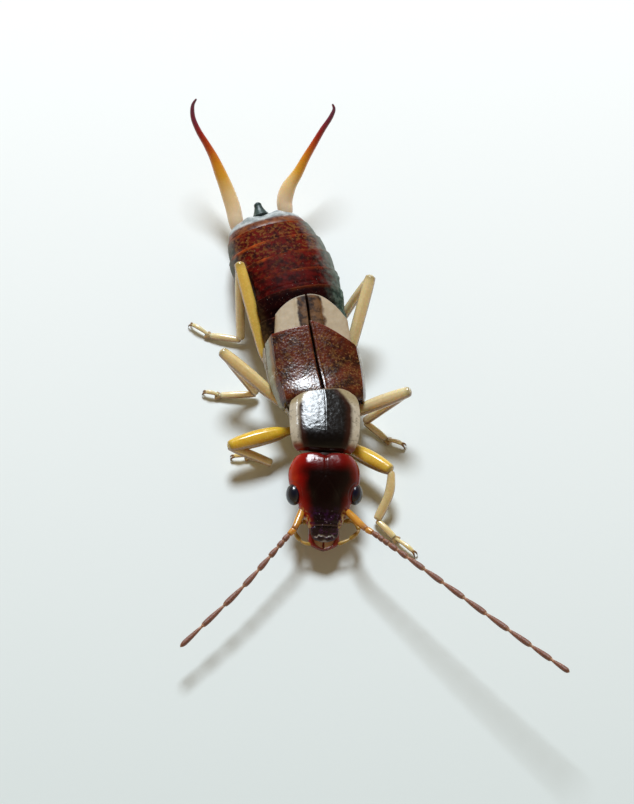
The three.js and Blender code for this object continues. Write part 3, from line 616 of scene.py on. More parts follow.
    # painted sheen: the flanks are painted paler, most on the low-u side, standing in for the bright floor's reflection
    away = n.math("ABSOLUTE", n.math("MULTIPLY_ADD", u, 2.0, -1.0))
    fleck = n.noise(5200, 4)
    painted_sheen = n.math("MULTIPLY", n.range(n.math("MULTIPLY_ADD", fleck, .26, away), .50, .86), .70)
    near = n.math("MULTIPLY_ADD", fleck, .34, n.math("MULTIPLY_ADD", u, -2.0, 1.0))
    painted_sheen = n.math("MAXIMUM", painted_sheen, n.math("MULTIPLY", n.range(near, .40, .76), .82))
    painted_sheen_grey = n.mix(n.noise(7000, 3), (.12, .155, .135), (.28, .33, .30))
    # on the front rings the painted sheen is teal-grey on the low-u side and brown on the other; on the rear rings it
    # is grey
    front = n.mix(n.range(n.noise(6000, 4), .36, .64), n.mix(n.range(u, .42, .58), (.035, .075, .058), (.050, .022, .007)),
                  n.mix(n.range(u, .42, .58), (.17, .24, .20), (.20, .115, .040)))
    col = n.mix(painted_sheen, col, n.mix(n.range(place, .9, 3.1), front, painted_sheen_grey))
    n.colour(n.mix(n.range(n.attr("belly"), .4, .6), col, n.mix(n.noise(4200, 3), (.13, .055, .025), (.26, .13, .06))))
    n.roughness(n.range(n.noise(12000, 3), .25, .8, .48, .62))
    n.bump((n.noise(14000, 3, .5), 3.4e-6), (n.cells(21000), 2.4e-6))

    n = glossy("tail", ior=1.42)
    v = n.attr("v")
    front = n.mix(n.range(n.noise(4200, 4), .35, .65), (.060, .008, .004), (.20, .055, .012))
    # painted sheen: the rear of the last ring is painted light grey, well above its own dark teal-grey, standing in for
    # the lamp's sheen
    painted_sheen_grey = n.mix(n.range(n.noise(5200, 4), .3, .7), (.20, .24, .25), (.50, .54, .55))
    col = n.mix(n.range(n.math("MULTIPLY_ADD", n.noise(4200, 3), .3, v), .52, .70), front, painted_sheen_grey)
    back = n.math("MULTIPLY", n.range(v, .970, .995), n.range(n.noise(3600, 3), .30, .62, 1.0, .55))
    n.colour(n.mix(back, col, n.mix(n.noise(6000, 3), (.050, .016, .009), (.15, .075, .040))))
    n.roughness(n.range(n.noise(10000, 3), .25, .8, .26, .42))
    n.bump((n.noise(16000, 4, .6), 5.0e-6))

    # tail peg: a dark bluish green
    n = glossy("peg", ior=1.42)
    n.colour(n.mix(n.range(n.noise(7000, 3), .3, .7), (.010, .026, .027), (.055, .095, .090)))
    n.roughness(n.range(n.noise(10000, 3), .25, .8, .30, .46))
    n.bump((n.noise(16000, 4, .6), 4.0e-6))

    # forceps: cream, amber, red and at last dark red-brown
    n = glossy("forceps", sss=.25, radius=(.0003, .00012, .00004), coat=.25, coat_rough=.2)
    v = n.math("ADD", n.attr("v"), n.math("MULTIPLY_ADD", n.noise(3000, 3), .06, -.03))
    col = n.ramp(v, (0, (.60, .45, .30)), (.10, (.86, .68, .47)), (.28, (.80, .56, .24)), (.40, (.74, .38, .040)), (.50, (.66, .25, .013)),
                 (.61, (.50, .085, .008)), (.72, (.33, .018, .010)), (.84, (.18, .020, .045)), (1, (.09, .035, .060)))
    n.colour(n.mix(.3, col, n.mix(n.noise(9000, 3), (.6, .55, .5), (1, 1, 1)), "MULTIPLY"))
    n.roughness(n.range(n.noise(14000, 3), .25, .8, .16, .30))
    n.bump((n.noise(20000, 3), 2.4e-6))

    # legs: straw, glossy, browner at the joints, with painted shade as brown lines along their sides
    n = glossy("leg", sss=.30, radius=(.0004, .00022, .00008), coat=1.0, coat_rough=.22, ior=1.6)
    gold = n.attr("gold")
    base = n.mix(gold, n.mix(n.noise(4800, 3), (.72, .60, .36), (.93, .81, .55)), n.mix(n.noise(4800, 3), (.70, .41, .020), (.88, .58, .050)))
    side = n.math("ABSOLUTE", n.attr("ring"))
    # painted shade: a brown line down each side of every leg part stands in for the dark outline of a lit leg
    col = n.mix(n.math("MULTIPLY", n.range(side, .84, .98), .85), base, (.24, .105, .018))
    v = n.attr("v")
    joint = n.math("MAXIMUM", n.range(v, .07, .0), n.range(v, .92, 1.0))
    col = n.mix(n.math("MULTIPLY", n.attr("brown"), .75), col, (.24, .12, .030))
    n.colour(n.mix(n.math("MULTIPLY", joint, .6), col, (.24, .11, .026)))
    n.roughness(n.range(n.noise(12000, 3), .3, .8, .20, .34))
    n.bump((n.noise(24000, 3), 2.4e-6), (n.noise(5200, 2), 4e-6))
    n = glossy("claw")
    n.colour(n.ramp(n.attr("v"), (0, (.36, .20, .06)), (.5, (.16, .07, .025)), (1, (.04, .016, .010))))
    n.roughness(.3)
    n.bump((n.noise(30000, 2), 1e-6))


materials()
mat = {k: n.mat for k, n in M.items()}


# ------------------------------------------------------------------ head
def head_surface(m, th):
    c, s = np.cos(th), np.sin(th)
    w, hu, hd = along(HEAD_HALF, m), along(HEAD_UP, m), along(HEAD_DOWN, m)
    return w * np.sign(c) * np.abs(c) ** .92, np.sign(s) * np.abs(s) ** .95 * np.where(s > 0, hu, hd)


def make_head():
    nr, ns = 230, 300
    m = HEAD_LONG * (1 - np.cos(np.pi * np.linspace(0, 1, nr))) / 2
    m = lerp(np.linspace(0, HEAD_LONG, nr), m, .55)
    th = np.arange(ns) / ns * 2 * np.pi
    S, T = np.meshgrid(m, th, indexing="ij")
    X, N = head_surface(S, T)
    # the back of the head rounds over to the neck, and is drawn in at its middle
    close = ends(S / HEAD_LONG, .035) * .6 + .4
    X, N = X * np.where(S < .2, close, 1), N * np.where(S < .2, close, 1)
    up = N > 0
    push = np.zeros_like(S)
    # median seam, forking on the brow towards the feelers
    seam = np.exp(-(X / .022) ** 2) * smooth(.86, .62, S)
    fork = np.exp(-((np.abs(X) - (S - .74) * .62) / .026) ** 2) * smooth(.74, .82, S) * smooth(1.62, 1.25, S)
    push -= np.where(up, .026 * seam + .010 * fork, 0)
    # notch at the back and the two low swellings beside it
    push -= np.where(up, .060 * np.exp(-(X / .12) ** 2) * smooth(.26, .0, S), 0)
    push += np.where(up, .048 * np.exp(-((np.abs(X) - .60) / .25) ** 2) * smooth(.0, .12, S) * smooth(.80, .40, S), 0)
    push += np.where(up, .028 * np.exp(-((S - .10) / .09) ** 2 - ((np.abs(X) - .38) / .30) ** 2), 0)
    # brow: a dent behind each feeler and a low boss between
    push -= np.where(up, .030 * np.exp(-((np.abs(X) - .44) / .14) ** 2 - ((S - 1.45) / .20) ** 2), 0)
    push += np.where(up, .012 * np.exp(-(X / .25) ** 2 - ((S - 1.55) / .25) ** 2), 0)
    # groove between brow and face plate, and the step down to the lip
    push -= np.where(up, .008 * np.exp(-((S - 1.90 + .10 * np.abs(X)) / .035) ** 2) * smooth(.60, .30, np.abs(X)), 0)
    push -= np.where(up, .018 * smooth(2.10, 2.18, S), 0)
    # groove round the eye
    for sg in (-1, 1):
        r = np.sqrt(((X - sg * .89) / .30) ** 2 + ((S - 1.24) / .355) ** 2 + ((N - .07) / .345) ** 2)
        push -= .008 * np.exp(-((r - 1.0) / .06) ** 2)
        # socket of the feeler: a raised ring round a pit
        q = np.sqrt((X - sg * .72) ** 2 + (S - 1.80) ** 2 + (N - .04) ** 2)
        push += .016 * np.exp(-((q - .15) / .035) ** 2)
    # cheeks and throat: the flat throat plate has a shallow groove to each side
    push -= np.where(~up, .030 * np.exp(-((np.abs(X) - .42) / .05) ** 2) * smooth(.1, .4, S), 0)
    P = head_point(X, S, N)
    n = normals(P, wrap=True)
    n *= np.sign(np.sum(n * (P - P.mean((0, 1)))))
    face = np.where(up, smooth(1.80, 2.05, S), 0)
    P = P + n * (push + .0022 * rough(P, .16, 3) + .0010 * rough(P, .04, 5, 2) + .016 * face * rough(P, .20, 6) - .006)[..., None]
    pale = np.clip(.5 * smooth(.05, .0, S) + .12 * np.where(up, smooth(2.20, 2.24, S), 0), 0, 1)
    bag = Bag()
    tube(bag, P, {"u": np.sin(T), "v": S / HEAD_LONG, "ring": X / along(HEAD_HALF, S), "pale": pale})
    bag.build("head_capsule", mat["head"], "head", ["head"])

    # eyes
    for side, sg in SIDES.items():
        ni, nj = 90, 120
        a = np.linspace(.0001, np.pi - .0001, ni)
        b = np.arange(nj) / nj * 2 * np.pi
        A, B = np.meshgrid(a, b, indexing="ij")
        x, y, z = np.sin(A) * np.cos(B), np.cos(A), np.sin(A) * np.sin(B)
        P = head_point(sg * .905 + x * .235, (1.26 if sg < 0 else 1.19) + y * .325, (.04 if sg < 0 else .0) + z * .27)
        bag = Bag()
        tube(bag, P, {"u": z, "v": y})
        bag.build(f"eye_{side}_lens", mat["eye"], "eye", [f"eye_{side}"])

    # lip: a face plate, its pale hinge, and the rounded lip with a notch
    bag = Bag()
    nr, ns = 70, 96
    t = np.linspace(0, 1, nr)
    th = np.arange(ns) / ns * 2 * np.pi
    T, A = np.meshgrid(t, th, indexing="ij")
    c, s = np.cos(A), np.sin(A)
    half = .42 * along([[0, 1], [.5, .95], [.85, .78], [1, .55]], T)
    m = lerp(2.235, 2.70, T)
    k = ends(T, .16) * .85 + .15
    half = half * np.where(T > .5, np.sqrt(np.maximum(1 - ((T - .5) / .5) ** 3 * .62, .05)), 1)
    notch = .045 * np.exp(-(c * half / .07) ** 2) * smooth(.55, 1, T)
    wave = .66 + .060 * np.sin(c * half * 22 + .9) + .03 * np.sin(c * half * 55)
    hinge = .022 * np.exp(-((T - wave) / .035) ** 2)
    high = lerp(.105, .05, T) * k - np.where(s > 0, hinge, 0)
    P = head_point(np.sign(c) * np.abs(c) ** .8 * half * k, m - notch, lerp(.10, 0, T) + np.sign(s) * np.abs(s) ** .9 * high)
    P[..., 2] += np.where(s > 0, .014 * rough(P, .16, 8), 0)
    pale = 1.2 * np.exp(-((T - wave) / .040) ** 2) * np.where(s > 0, 1, .2) * smooth(.95, .6, np.abs(c)) * (.7 + .6 * rough(P, .10, 7)) + .4 * smooth(.93, 1, T)
    tube(bag, P, {"u": s, "v": T * .30, "pale": np.clip(pale, 0, 1)})
    bag.build("labrum_lip", mat["mouth"], "mouth", ["labrum"])

    # jaws: curved, two-toothed, meeting under the lip
    for side, sg in SIDES.items():
        bag = Bag()
        nr, ns = 90, 56
        t = np.linspace(0, 1, nr)
        th = np.arange(ns) / ns * 2 * np.pi
        T, A = np.meshgrid(t, th, indexing="ij")
        c, s = np.cos(A), np.sin(A)
        m = lerp(2.20, 2.925, T)
        tt = np.clip((m - 2.29) / .64, 0, 1)
        outer = along([[0, .45], [.35, .46], [.57, .455], [.74, .385], [.84, .28], [.914, .175], [.96, .10], [1, .02]], tt)
        inside = along([[0, .08], [.4, -.02], [.8, -.04], [1, -.04]], tt)
        mid, half = (outer + inside) / 2, (outer - inside) / 2
        tooth = .018 * (np.exp(-((T - .90) / .025) ** 2) + np.exp(-((T - .78) / .03) ** 2)) - .010 * np.exp(-((T - .84) / .02) ** 2)
        inner = np.where(c < 0, half + tooth, half)
        k = ends(T, .07) * .8 + .2
        across = mid + c * inner * k
        bar = smooth(.21, .14, outer - across)
        high = s * .16 * (1 - .50 * tt) * k
        P = head_point(sg * across, m, -.20 + .05 * tt + (.012 * sg) + np.where(s > 0, high * lerp(.25, 1, bar), high))
        # pale marks the jaw's inner face, painted pale cream in the mouth material: partly its own colour, partly
        # painted light
        tube(bag, P, {"u": s, "v": .35 + .65 * T, "pale": np.where(s > 0, (1 - bar) * smooth(.0, .03, across), 0)})
        T = T + .05 * rough(P, .10, 9)
        bag.build(f"mandible_{side}_jaw", mat["mouth"], "mouth", [f"mandible_{side}"])

    # palps: five joints each, and the short inner pair under the mouth
    for side, sg in SIDES.items():
        bag = Bag()
        path, index, long = curve(PALP[side], 150)
        cuts = [0, .12, .24, .52, .76, 1]
        for i in range(5):
            a, b = cuts[i] * 149, cuts[i + 1] * 149
            q = stations(34)
            seg = np.stack([np.interp(a + (b - a) * (q * 1.04 - .02), np.arange(150), path[:, k]) for k in range(3)], -1)
            r = [.082, .078, .072, .068, .055][i] * along([[0, .55], [.2, .72], [.7, 1], [1, .82]], q) * (ends(q, .10) * .85 + .15)
            limb(bag, seg, r, r, 28, part=i)
        inner = [head_point(sg * .14, 2.05, -.40), head_point(sg * .24, 2.25, -.47), head_point(sg * .25, 2.45, -.43), head_point(sg * .19, 2.58, -.36)]
        path, index, long = curve(inner, 90)
        for i in range(3):
            q = stations(30)
            seg = np.stack([np.interp((i + q * 1.04 - .02) / 3 * 89, np.arange(90), path[:, k]) for k in range(3)], -1)
            r = [.050, .046, .040][i] * (ends(q, .12) * .85 + .15)
            limb(bag, seg, r, r, 24, part=5 + i)
        bag.build(f"palp_{side}_joints", mat["palp"], "palp", [f"palp_{side}"])


def make_antennae():
    for side, sg in SIDES.items():
        A = ANTENNA[side]
        root = head_point(sg * .64, 1.70, .03)
        path, index, long = curve([root, A["scape"], A["pedicel"]], 200)
        share = np.interp(1.0, index, np.arange(200)) / 199
        bag = Bag()
        for i, (a, b, r0, r1, r2) in enumerate(((-.0, share, .075, .112, .096), (share - .01, 1.0, .070, .092, .080))):
            q = stations(60 if i == 0 else 30)
            seg = np.stack([np.interp((a + (b - a) * q) * 199, np.arange(200), path[:, k]) for k in range(3)], -1)
            r = along([[0, r0], [.12, r0 * 1.35], [.45, r1], [.85, r2], [1, r2 * .9]], q) * (ends(q, .07) * .8 + .2)
            limb(bag, seg, r, r * .95, 40, part=i)
        bag.build(f"antenna_{side}_scape_joints", mat["antenna_base"], "antenna_base", [f"antenna_{side}_scape"])

        beads = A["beads"]
        total, n = sum(beads), 26
        places, radius, where, number = [], [], [], []
        at = 0.0
        for i, b in enumerate(beads):
            x = (np.arange(n) + (1 if i else 0)) / n if i < len(beads) - 1 else np.linspace(1 / n, 1, n)
            short = b < .36
            full = .084 if short else .089
            full *= 1 - .16 * max(0, i - len(beads) + 3) / 3
            if short:
                r = along([[0, .58], [.15, .86], [.5, 1], [.85, .94], [1, .60]], x)
            else:
                r = along([[0, .42], [.10, .56], [.35, .82], [.68, 1], [.88, .93], [.96, .74], [1, .44]], x)
            if i == len(beads) - 1:
                r = r * np.where(x > .8, np.sqrt(np.maximum(1 - ((x - .8) / .2) ** 2, .002)), 1)
            places.append((at + b * x) / total)
            radius.append(r * full)
            where.append(x)
            number.append(np.full(n, i))
            at += b
        places, radius, where, number = (np.concatenate(z) for z in (places, radius, where, number))
        keep = np.concatenate([[True], np.diff(places) > 1e-6])
        places, radius, where, number = places[keep], radius[keep], where[keep], number[keep]
        path, index, long = curve([A["pedicel"], *A["via"], A["tip"]], places)
        d, s_, t_ = frames(path)
        ns = 28
        th = np.arange(ns) / ns * 2 * np.pi
        G = path[:, None] + s_[:, None] * (radius[:, None] * np.cos(th))[..., None] + t_[:, None] * (radius[:, None] * np.sin(th))[..., None]
        bag = Bag()
        tube(bag, G, {"u": np.broadcast_to(where[:, None], G.shape[:2]), "v": np.broadcast_to(places[:, None], G.shape[:2])})
        bag.build(f"antenna_{side}_whip", mat["antenna"], "antenna", [f"antenna_{side}_flagellum"])


# ------------------------------------------------------------------ wing cases, wing tips and pronotum
def tegmen_point(side, u, v, w):
    sg = SIDES[side]
    wide = lerp(.90, 1, np.minimum(1, np.sin(np.minimum(v / .5, 1) * np.pi / 2))) * (1 - .05 * v * v)
    k = .70
    e = np.maximum(0, (u - k) / (1 - k))
    b = np.minimum(u / k, 1)
    disc = 1.24 + (.10 if sg > 0 else 0)
    p = (.012 + (disc - .012) * b + .20 * e) * wide
    drop = .17 * b**2.2 + .58 * e * (.75 + .25 * e) * np.where(v > .5, 1 - .25 * (v - .5), 1)
    slant, reach = (.95, .16) if sg > 0 else (.10, 0)
    y = .40 - .17 * smooth(.25, 0, v) * smooth(1.1, .8, u) + (2.66 + reach - .40 - slant * np.minimum(1, p / 1.3) ** 1.3 * v) * v + np.where(v < .2, .25 * (.2 - v) * u, 0)
    top = along([[0, 1.90], [.05, 1.945], [.12, 1.970], [.26, 1.970], [.45, 2.010], [.70, 2.100], [1, 2.205]], v) - AXIS_Z - drop
    inward = .42 * w
    return body_point(y, sg * (p - np.where(e > 0, inward * .9 * e, 0)), top - inward * (1 - .62 * e))


def pronotum_point(u, v, w):
    a = 2 * u - 1
    half = 1.075 * along([[0, .75], [.06, .87], [.2, .955], [.55, 1], [.82, .985], [.94, .93], [1, .84]], v)
    y = -1.52 + 2.02 * v - np.where(v > .5, (v - .5) * .30 * np.abs(a) ** 4, (.5 - v) * -.10 * np.abs(a) ** 2)
    top = along([[0, 1.80], [.05, 1.885], [.12, 1.965], [.22, 2.020], [.36, 2.040], [.65, 2.040], [.88, 2.025], [1, 2.015]], v) - AXIS_Z
    top = top - .070 * np.abs(a) - .17 * np.abs(a) ** 4.5
    return body_point(y, half * a * (1 - .05 * w), top - w * .28 * (1 - .35 * np.abs(a) ** 3))


def scale_point(side, u, v, w):
    sg = SIDES[side]
    p = .012 + 1.168 * u * (1 - .10 * v)
    a, b = (.75, .7) if sg > 0 else (.36, .3)
    y = 2.5 + 1.30 * v * (1 - a * u**2.3) - b * u**2 * (1 - v)
    top = 2.12 - .13 * u**2 - .02 * v * v - AXIS_Z
    return body_point(y, sg * p + .17 * v, top - w * .32)


def make_covers():
    def pro(u, v, P):
        a = np.abs(2 * u - 1)
        h = -.004 * np.exp(-((2 * u - 1) / .016) ** 2) * smooth(.06, .2, v)
        h = h - .010 * np.exp(-((a - .76) / .05) ** 2)
        h = h + .010 * smooth(.93, .99, a)
        return h + .0022 * rough(P, .30, 11) + .0006 * rough(P, .040, 13, 2) - .020
    bag = Bag()
    shell(bag, pronotum_point, 220, 190, deep=lambda u, v: .92 - .35 * smooth(.7, 1, np.abs(2 * u - 1)), rim=(.030, .06, .030), relief=pro)
    bag.build("pronotum_plate", mat["pronotum"], "pronotum", ["pronotum"])

    for side, sg in SIDES.items():
        def teg(u, v, P):
            h = .008 * np.exp(-((u - .045) / .020) ** 2)
            return h + .0018 * rough(P, .25, 23) + .0005 * rough(P, .045, 29, 2) - .012
        bag = Bag()
        shell(bag, lambda u, v, w: tegmen_point(side, u, v, w), 205, 195, deep=lambda u, v: .80 - .45 * smooth(.85, 1, v), rim=(.022, .075, .022), relief=teg)
        bag.build(f"tegmen_{side}_case", mat["tegmen"], "tegmen", [f"tegmen_{side}"])

        def wing(u, v, P):
            h = -.014 * np.exp(-((u - .36) / .022) ** 2) + .010 * np.exp(-((u - .80) / .07) ** 2)
            return h + .0035 * rough(P, .16, 31) - .014
        bag = Bag()
        shell(bag, lambda u, v, w: scale_point(side, u, v, w), 140, 125, deep=lambda u, v: .80 - .40 * smooth(.8, 1, v), rim=(.03, .03), relief=wing, extra=1 if sg > 0 else 0)
        bag.build(f"wing_{side}_tip", mat["wing"], "wing", [f"wing_{side}"])


# ------------------------------------------------------------------ the skin, the thorax plates and the abdomen
def clear_of_legs(P):
    """moves the body's points in towards its middle wherever a thigh lies against it"""
    start, P = P, P.copy()
    y = P[..., 1]
    for name, L in LEGS.items():
        a, b, r = np.array(L["neck"]), np.array(L["knee"]), L["femur"] + .075
        for _ in range(30):
            t = np.clip(((P - a) @ (b - a)) / ((b - a) @ (b - a)), .10, 1)
            d = np.linalg.norm(P - (a + t[..., None] * (b - a)), axis=-1)
            hit = (d < r) & (t > .12)
            if not hit.any():
                break
            middle = stack(along(AXIS, y), y, 1.15 + 0 * y)
            way = middle - P
            way /= np.maximum(np.linalg.norm(way, axis=-1, keepdims=True), 1e-6)
            P += way * (np.where(hit, np.minimum(r - d, .03) * smooth(.10, .25, t), 0))[..., None]
    D = P - start
    for _ in range(4):
        for axis in (0, 1):
            D = (D + np.concatenate([D.take([0], axis), D.take(range(D.shape[axis] - 1), axis)], axis)
                 + np.concatenate([D.take(range(1, D.shape[axis]), axis), D.take([-1], axis)], axis)) / 3
    return start + D


def make_body():
    ns = 150
    th = np.arange(ns) / ns * 2 * np.pi
    c, s = np.cos(th), np.sin(th)
    rings = [head_point(c * .36, .16, s * .20 - .03), head_point(c * .41, .05, s * .23 - .03), head_point(c * .43, -.03, s * .24 - .03),
             body_point(np.full(ns, -1.38), c * .43, 1.18 - AXIS_Z + s * .28)]
    for y in np.linspace(-1.27, 2.70, 130):
        rings.append(ring_point(TRUNK, y, c, s, .955 - .02 * math.exp(-((y + .02) / .08) ** 2) - .02 * math.exp(-((y - 1.18) / .08) ** 2)))
    for y in np.linspace(2.80, 7.05, 120):
        rings.append(ring_point(ABDOMEN, y, c, s, .925 - .20 * smooth(6.55, 7.05, y)))
    P = np.array(rings)
    n = normals(P, wrap=True)
    n *= np.sign(np.sum(n * (P - P.mean(1, keepdims=True))))
    P = clear_of_legs(P + n * (.010 * rough(P, .22, 41) + .006 * rough(P * np.array([.6, 2.2, 1]), .10, 43) - .012)[..., None])
    y = P[..., 1]
    dark = np.clip(smooth(2.6, 3.3, y) + smooth(-1.15, -1.45, y), 0, 1)
    bag = Bag()
    tube(bag, P, {"u": np.broadcast_to(s, y.shape), "v": np.broadcast_to(np.linspace(0, 1, len(P))[:, None], y.shape), "dark": dark})
    bag.build("body_skin", mat["skin"], "thorax", ["prothorax", "mesothorax", "metathorax", "neck"])

    # shield-like breast plates and the side plates of the thorax
    bag = Bag()
    k = 0
    for y0, y1, a0, a1 in ((-1.10, -.16, 232, 308), (.04, 1.10, 222, 318), (1.24, 2.66, 220, 320)):
        def breast(u, v, w):
            half = (a1 - a0) / 2 * lerp(.62, 1, np.sin(np.pi * np.clip(v * .75 + .12, 0, 1)))
            a = np.radians((a0 + a1) / 2 + (2 * u - 1) * half)
            y = lerp(y0, y1, v) + .06 * (2 * u - 1) ** 2 * (1 - 2 * v)
            return ring_point(TRUNK, y, np.cos(a), np.sin(a), .985 - .05 * w)
        shell(bag, breast, 60, 60, rim=(.06, .06), relief=lambda u, v, P: .004 * rough(P, .12, 51) - .010 * np.exp(-((u - .5) / .02) ** 2), extra=k)
        k += 1
    for y0, y1, a0, a1 in ((-1.05, -.12, -38, 12), (.06, .62, -46, 8), (.60, 1.12, -44, 10), (1.26, 1.92, -46, 8), (1.90, 2.64, -42, 10)):
        for flip in (0, 1):
            def flank(u, v, w):
                a = np.radians(lerp(a0, a1, u))
                a = np.pi - a if flip else a
                y = lerp(y0, y1, v) + .16 * (u - .5)
                return ring_point(TRUNK, y, np.cos(a), np.sin(a), 1.0 - .06 * w)
            shell(bag, flank, 44, 40, rim=(.10, .10), relief=lambda u, v, P: .012 * np.sin(np.pi * u) * np.sin(np.pi * v) - .012 + .004 * rough(P, .10, 57), extra=k)
            k += 1
    bag.build("thorax_plates", mat["plate"], "thorax", ["prothorax", "mesothorax", "metathorax"])

    # rings of the abdomen: back plates overlap like tiles and lap down over the belly plates
    for i in range(6):
        a, b = RING_CUTS[i], RING_CUTS[i + 1]
        def back(u, v, w):
            t = np.radians(lerp(-30, 210, u))
            y = lerp(a - .11, b + .035, v) + .05 * np.abs(np.cos(t)) ** 5 * v - .02 * np.sin(np.clip(t, 0, np.pi)) * v
            size = .966 + .036 * smooth(0, .9, v) - .010 * smooth(.93, 1, v)
            return clear_of_legs(ring_point(ABDOMEN, y, np.cos(t), np.sin(t), size - .030 * w))
        def tile(u, v, P):
            h = .0030 * rough(P, .13, 61 + i) + .0008 * rough(P, .045, 71 + i, 2)
            h = h - .007 * np.exp(-((v - .34) / .045) ** 2) + .006 * smooth(.88, .95, v)
            if i in (1, 2):  # the small gland folds at the sides
                for at in (.205, .795):
                    h = h + (.050 if i == 2 else .035) * np.exp(-((u - at) / .020) ** 2 - ((v - .66) / .10) ** 2)
            return h
        bag = Bag()
        shell(bag, back, 230, 62, rim=(.012, .05), relief=tile, extra=i, dense=.35)
        def belly(u, v, w):
            t = np.radians(lerp(196, 344, u))
            y = lerp(a - .09, b + .02, v) + .03 * np.cos(t) ** 2 * v
            return ring_point(ABDOMEN, y, np.cos(t), np.sin(t), .945 + .030 * smooth(0, .9, v) - .030 * w)
        shell(bag, belly, 100, 36, rim=(.02, .06), relief=lambda u, v, P: .004 * rough(P, .10, 81 + i) - .008 * np.exp(-((v - .3) / .04) ** 2), extra=i, dense=.35)
        count = [len(x) for x in bag.v]
        bag.a["belly"] = [np.zeros(count[0]), np.ones(count[1])]
        bag.build(f"abdomen_{i + 1}_plates", mat["abdomen"], "abdomen", [f"abdomen_ring_{i + 1}"])

    # last ring: broad, with a hollow behind and a boss over each arm of the forceps
    nr, ns = 120, 220
    t = np.concatenate([np.linspace(0, .9, 80), .9 + .1 * np.sin(np.linspace(0, np.pi / 2, 41)[1:])])
    th = np.arange(ns) / ns * 2 * np.pi
    T, A = np.meshgrid(t, th, indexing="ij")
    c, s = np.cos(A), np.sin(A)
    y = lerp(6.64, 7.435, T)
    fall = np.sqrt(np.maximum(1 - .45 * np.maximum(0, (T - .55) / .45) ** 2.4, 0))
    size = (.955 + .040 * smooth(0, .25, T)) * fall * (1 - .06 * smooth(.97, 1, T))
    P = ring_point(ABDOMEN, y, c, s, size)
    n = normals(P, wrap=True)
    n *= np.sign(np.sum(n * (P - P.mean(1, keepdims=True))))
    up = smooth(.1, .5, s)
    h = -.045 * np.exp(-(c / .16) ** 2) * smooth(.30, .85, T) * up
    h = h + .060 * np.exp(-((np.abs(c) - .46) / .15) ** 2 - ((T - .84) / .12) ** 2) * up
    h = h + .0045 * rough(P, .12, 91) + .002 * rough(P, .04, 93, 2)
    P = P + n * (h - .006)[..., None]
    bag = Bag()
    tube(bag, P, {"u": s, "v": T})
    bag.build("abdomen_last_plate", mat["tail"], "tail", ["abdomen_last_ring"])

    # tail peg
    nr, ns = 50, 48
    T, A = np.meshgrid(np.linspace(0, 1, nr), np.arange(ns) / ns * 2 * np.pi, indexing="ij")
    r = along([[0, .30], [.35, .20], [.7, .13], [.9, .115], [1, .05]], T) * .97
    P = body_point(lerp(7.475, 7.915, T), r * np.cos(A), 1.02 - AXIS_Z + .16 * T + .8 * r * np.sin(A))
    bag = Bag()
    tube(bag, P, {"u": np.sin(A), "v": .43 + .10 * T})
    bag.build("pygidium_peg", mat["peg"], "tail", ["pygidium"])


def make_forceps():
    for side, sg in SIDES.items():
        rows = FORCEPS[side]
        first, second = np.array(rows[0]), np.array(rows[1])
        if side == "right":
            shift = [0, -.05, -.10, -.055, -.06, -.04, -.06, -.05, -.04, -.03]
        else:
            shift = [0, 0, 0, .02, -.02, -.04, -.04, 0, 0, 0]
        rows = [[r[0] + dx, *r[1:]] for r, dx in zip(rows, shift)]
        inward = (first[:3] - second[:3]) / np.linalg.norm(first[:3] - second[:3])
        rows = [[*(first[:3] + inward * .26 + np.array([.06 * -sg, 0, .02])), .22]] + rows
        q = stations(190)
        path, index, long = curve(rows, q)
        slim = 1.0
        wide = [.20, .235, .232, .215, .185, .145, .112] if side == "right" else [.20, .240, .238, .190, .148, .124, .106]
        r = along([[0, wide[0]], [.08, wide[1]], [.22, wide[2]], [.32, wide[3]], [.44, wide[4]], [.545, wide[5]], [.65, wide[6]], [.80, .086], [.92, .066], [1, .030]], q)
        close = np.where(q > .5, ends(q, .012) * .7 + .3, ends(q, .03) * .35 + .65)
        def teeth(t, a):
            inner = np.exp(-(np.abs(np.angle(np.exp(1j * (a - (np.pi if sg > 0 else 0))))) / .42) ** 2)
            saw = (.5 + .5 * np.cos(t * 2 * np.pi * 30)) ** 3
            ridge = .008 * inner * smooth(.10, .20, t) * smooth(.52, .24, t)
            return ridge + .009 * inner * saw * smooth(.12, .18, t) * smooth(.40, .26, t)
        # the frame's side direction is to the right of the path, so the inner edge is found by sign
        bag = Bag()
        limb(bag, path, r * slim * close, r * slim * close * lerp(.85, 1, q), 64, relief=lambda t, a: teeth(t, a) * close[:, None])
        bag.build(f"forceps_{side}_arm", mat["forceps"], "forceps", [f"forceps_{side}"])


